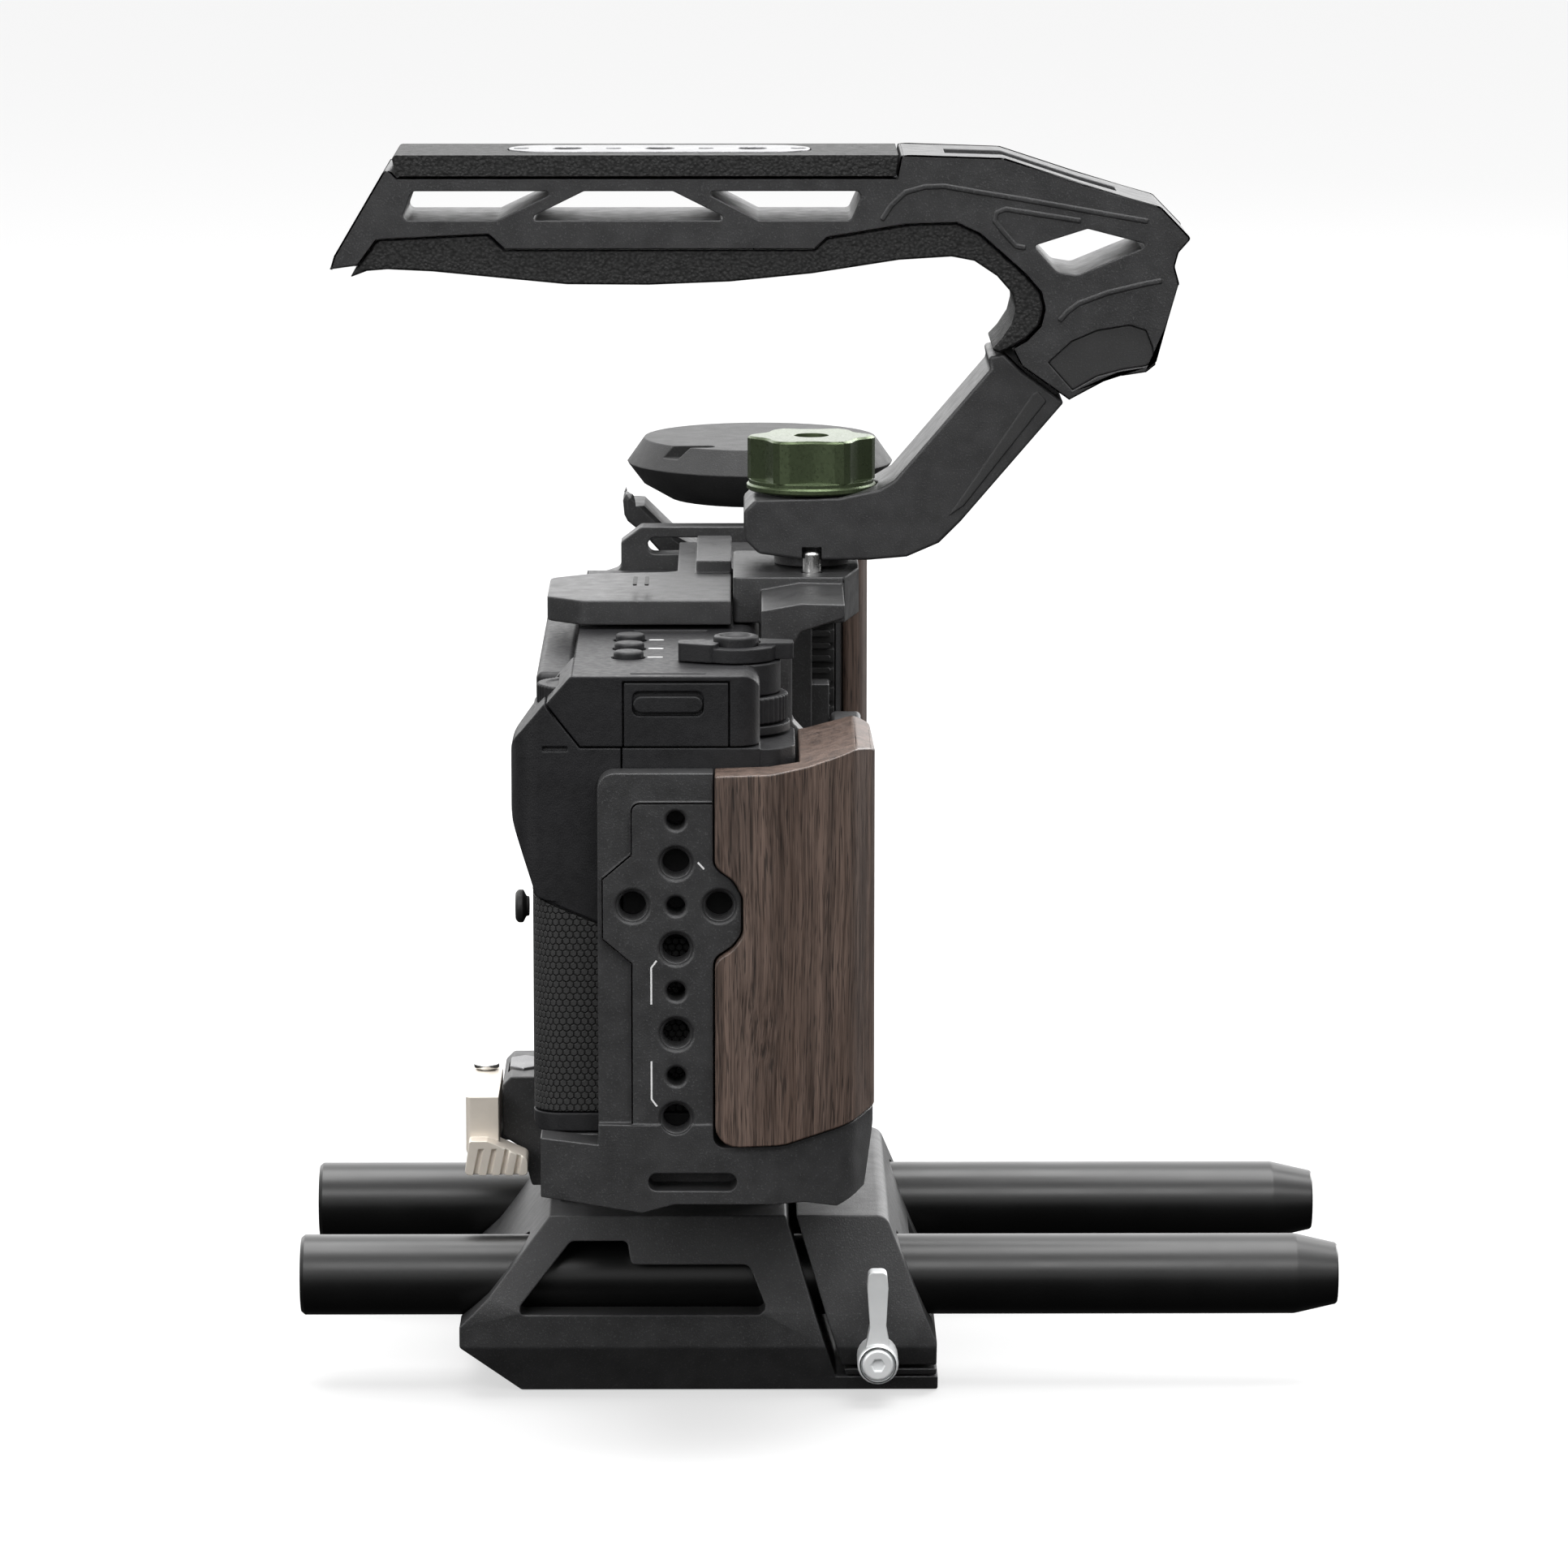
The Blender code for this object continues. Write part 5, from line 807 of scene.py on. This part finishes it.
class RIG_OT_top_handle(RigOperator, bpy.types.Operator):
    """Dress the top handle and its knob"""
    bl_idname = "rig.top_handle"
    bl_label = "Top handle"

    def make(self, sizes, colours):
        machined('handle_frame', 'black_anodised', sizes.fine_edge, clamp=False)
        machined('handle_neck', 'black_anodised', sizes.fine_edge, clamp=False)
        machined('handle_lower_pad', 'pad_rubber', sizes.fine_edge)
        machined('handle_top_pad', 'pad_rubber', sizes.fine_edge)
        machined('handle_thread_plate', 'grey_anodised', sizes.fine_edge)
        machined('handle_knob', 'green_anodised', 0.45 * MM, segments=3)
        low, high = (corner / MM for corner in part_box('handle_knob'))
        middle = (low + high) / 2
        rim = [(9.0, low.z + 0.1), (11.7, low.z - 0.1), (12.15, low.z + 0.25), (12.15, low.z + 0.95),
               (11.8, low.z + 1.3), (9.0, low.z + 1.3)]
        spun('knob_rim', rim, (middle.x, middle.y, 0.0), 'Z', 'green_anodised', 'handle_knob',
             96, closed=True)
        machined('handle_bolt', 'bright_steel', sizes.fine_edge)
        insets, ridges, strips = bmesh.new(), bmesh.new(), bmesh.new()
        for side in (-1, 1):
            plate(insets, NOSE_INSET, 'Y', side * 12.0, side * 13.5, 0.35, 3)
            for line in HANDLE_RIDGES:
                plate(ridges, stroke(line, 1.1), 'Y', side * 13.4, side * 14.25, 0.32, 3)
            # Darker strips on the neck's sides stand in for the shade along its groove.
            plate(strips, NECK_SHADE_STRIP, 'Y', side * 11.4, side * 12.3, 0.3, 3)
        add_piece('nose_insets', insets, 'cap_black', 'camera')
        add_piece('handle_ridges', ridges, 'black_anodised', 'camera')
        add_piece('neck_shade_strips', strips, 'cap_black', 'camera')
        gasket = bmesh.new()
        plate(gasket, stroke(NECK_GASKET, 1.7), 'Y', -10.5, 10.5)
        add_piece('neck_gasket', gasket, 'smooth_rubber', 'camera')


class RIG_OT_side_handle(RigOperator, bpy.types.Operator):
    """Dress the side handle"""
    bl_idname = "rig.side_handle"
    bl_label = "Side handle"

    def make(self, sizes, colours):
        for node in ('side_clamp', 'side_handle_core', 'side_handle_thumb_rest', 'side_clamp_knob'):
            machined(node, 'black_anodised', sizes.edge)
        machined('side_handle_wood', 'walnut', sizes.edge)
        machined('side_handle_ribs', 'smooth_rubber', sizes.fine_edge)
        machined('side_handle_cap', 'cap_black', sizes.edge)
        low, high = (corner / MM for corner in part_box('side_handle_ribs'))
        ribs = bmesh.new()
        count, margin = 16, 2.2
        for index in range(count):
            height = low.z + margin + index * (high.z - low.z - 2 * margin) / (count - 1)
            plate(ribs, oval(((low.x + high.x) / 2, height), ((high.x - low.x) / 2 - 1.3, 0.0), 0.55), 'Y',
                  low.y - 0.9, low.y + 0.4, 0.25)
        add_piece('side_ribs', ribs, 'smooth_rubber', 'side_handle')


class RIG_OT_stage(RigOperator, bpy.types.Operator):
    """Lay the floor, set the lights and the camera"""
    bl_idname = "rig.stage"
    bl_label = "Studio"

    def make(self, sizes, colours):
        body = bmesh.new()
        bmesh.ops.create_grid(body, x_segments=12, y_segments=12, size=FLOOR_SIZE)
        mesh = bpy.data.meshes.new('floor')
        body.to_mesh(mesh)
        body.free()
        floor = bpy.data.objects.new('floor', mesh)
        floor.location.z = -FLOOR_DROP
        floor.visible_glossy = False
        floor.visible_diffuse = False
        bpy.context.scene.collection.objects.link(floor)
        mesh.materials.append(FINISHES['studio_floor'])
        for light in LIGHTS:
            add_light(*light)
        make_world()
        lens = bpy.data.cameras.new('camera')
        lens.lens = CAMERA_LENS
        lens.sensor_width = 36.0
        lens.clip_start = 0.05
        lens.clip_end = 40.0
        lens.dof.use_dof = False
        camera = bpy.data.objects.new('camera', lens)
        bpy.context.scene.collection.objects.link(camera)
        camera.matrix_world = (Matrix.Translation(CAMERA_PLACE)
                               @ Matrix.Rotation(math.radians(CAMERA_PAN), 4, 'Z')
                               @ Matrix.Rotation(math.radians(90.0 - CAMERA_TILT), 4, 'X'))
        bpy.context.scene.camera = camera
        bpy.context.scene.view_settings.view_transform = 'Standard'


def add_light(name, at, towards, size, power):
    """A rectangular soft light."""
    lamp = bpy.data.lights.new(name, 'AREA')
    lamp.shape = 'RECTANGLE'
    lamp.size, lamp.size_y = size
    lamp.energy = power
    obj = bpy.data.objects.new(name, lamp)
    bpy.context.scene.collection.objects.link(obj)
    obj.location = at
    obj.rotation_euler = (Vector(at) - Vector(towards)).to_track_quat('Z', 'Y').to_euler()


def make_world():
    """Even surroundings: white behind and above, dim in front, dark below."""
    world = bpy.data.worlds.new('studio')
    world.use_nodes = True
    bpy.context.scene.world = world
    tree = world.node_tree
    background = tree.nodes['Background']
    place = tree.nodes.new('ShaderNodeTexCoord')
    split = tree.nodes.new('ShaderNodeSeparateXYZ')
    tree.links.new(place.outputs['Generated'], split.inputs[0])

    def ramp(output, low, high, to_low, to_high):
        node = tree.nodes.new('ShaderNodeMapRange')
        node.interpolation_type = 'SMOOTHSTEP'
        tree.links.new(split.outputs[output], node.inputs[0])
        for socket, value in zip((1, 2, 3, 4), (low, high, to_low, to_high)):
            node.inputs[socket].default_value = value
        return node.outputs[0]

    def join(operation, first, second):
        node = tree.nodes.new('ShaderNodeMath')
        node.operation = operation
        tree.links.new(first, node.inputs[0])
        tree.links.new(second, node.inputs[1])
        return node.outputs[0]

    level = join('MAXIMUM', ramp('Y', 0.1, 0.75, 0.72, 2.3), ramp('Z', 0.3, 0.95, 0.0, 1.3))
    level = join('MULTIPLY', level, ramp('Z', -0.04, 0.10, 0.015, 1.0))
    tree.links.new(level, background.inputs['Strength'])
    background.inputs['Color'].default_value = (1.0, 1.0, 1.0, 1.0)


# ---- panel and registration ----------------------------------------------------------
OPERATORS = (RIG_OT_finishes, RIG_OT_rods, RIG_OT_base, RIG_OT_quick_release, RIG_OT_cage, RIG_OT_wood_grip,
             RIG_OT_camera, RIG_OT_monitor, RIG_OT_controls, RIG_OT_top_handle, RIG_OT_side_handle,
             RIG_OT_stage)


class RIG_PT_panel(bpy.types.Panel):
    """The rig's sizes, colours and steps in the sidebar"""
    bl_label = "Camera Rig"
    bl_idname = "RIG_PT_panel"
    bl_space_type = 'VIEW_3D'
    bl_region_type = 'UI'
    bl_category = "Camera Rig"

    def draw(self, context):
        for group in (context.scene.rig_sizes, context.scene.rig_colours):
            column = self.layout.column(align=True)
            for name in group.__annotations__:
                column.prop(group, name)
        for operator in OPERATORS:
            self.layout.operator(operator.bl_idname)


CLASSES = (RigSizes, RigColours, *OPERATORS, RIG_PT_panel)


def register():
    for cls in CLASSES:
        bpy.utils.register_class(cls)
    bpy.types.Scene.rig_sizes = PointerProperty(type=RigSizes)
    bpy.types.Scene.rig_colours = PointerProperty(type=RigColours)


def unregister():
    del bpy.types.Scene.rig_colours
    del bpy.types.Scene.rig_sizes
    for cls in reversed(CLASSES):
        bpy.utils.unregister_class(cls)


def main():
    register()
    for operator in OPERATORS:
        getattr(bpy.ops.rig, operator.bl_idname.split('.')[1])()


if __name__ == "__main__":
    main()
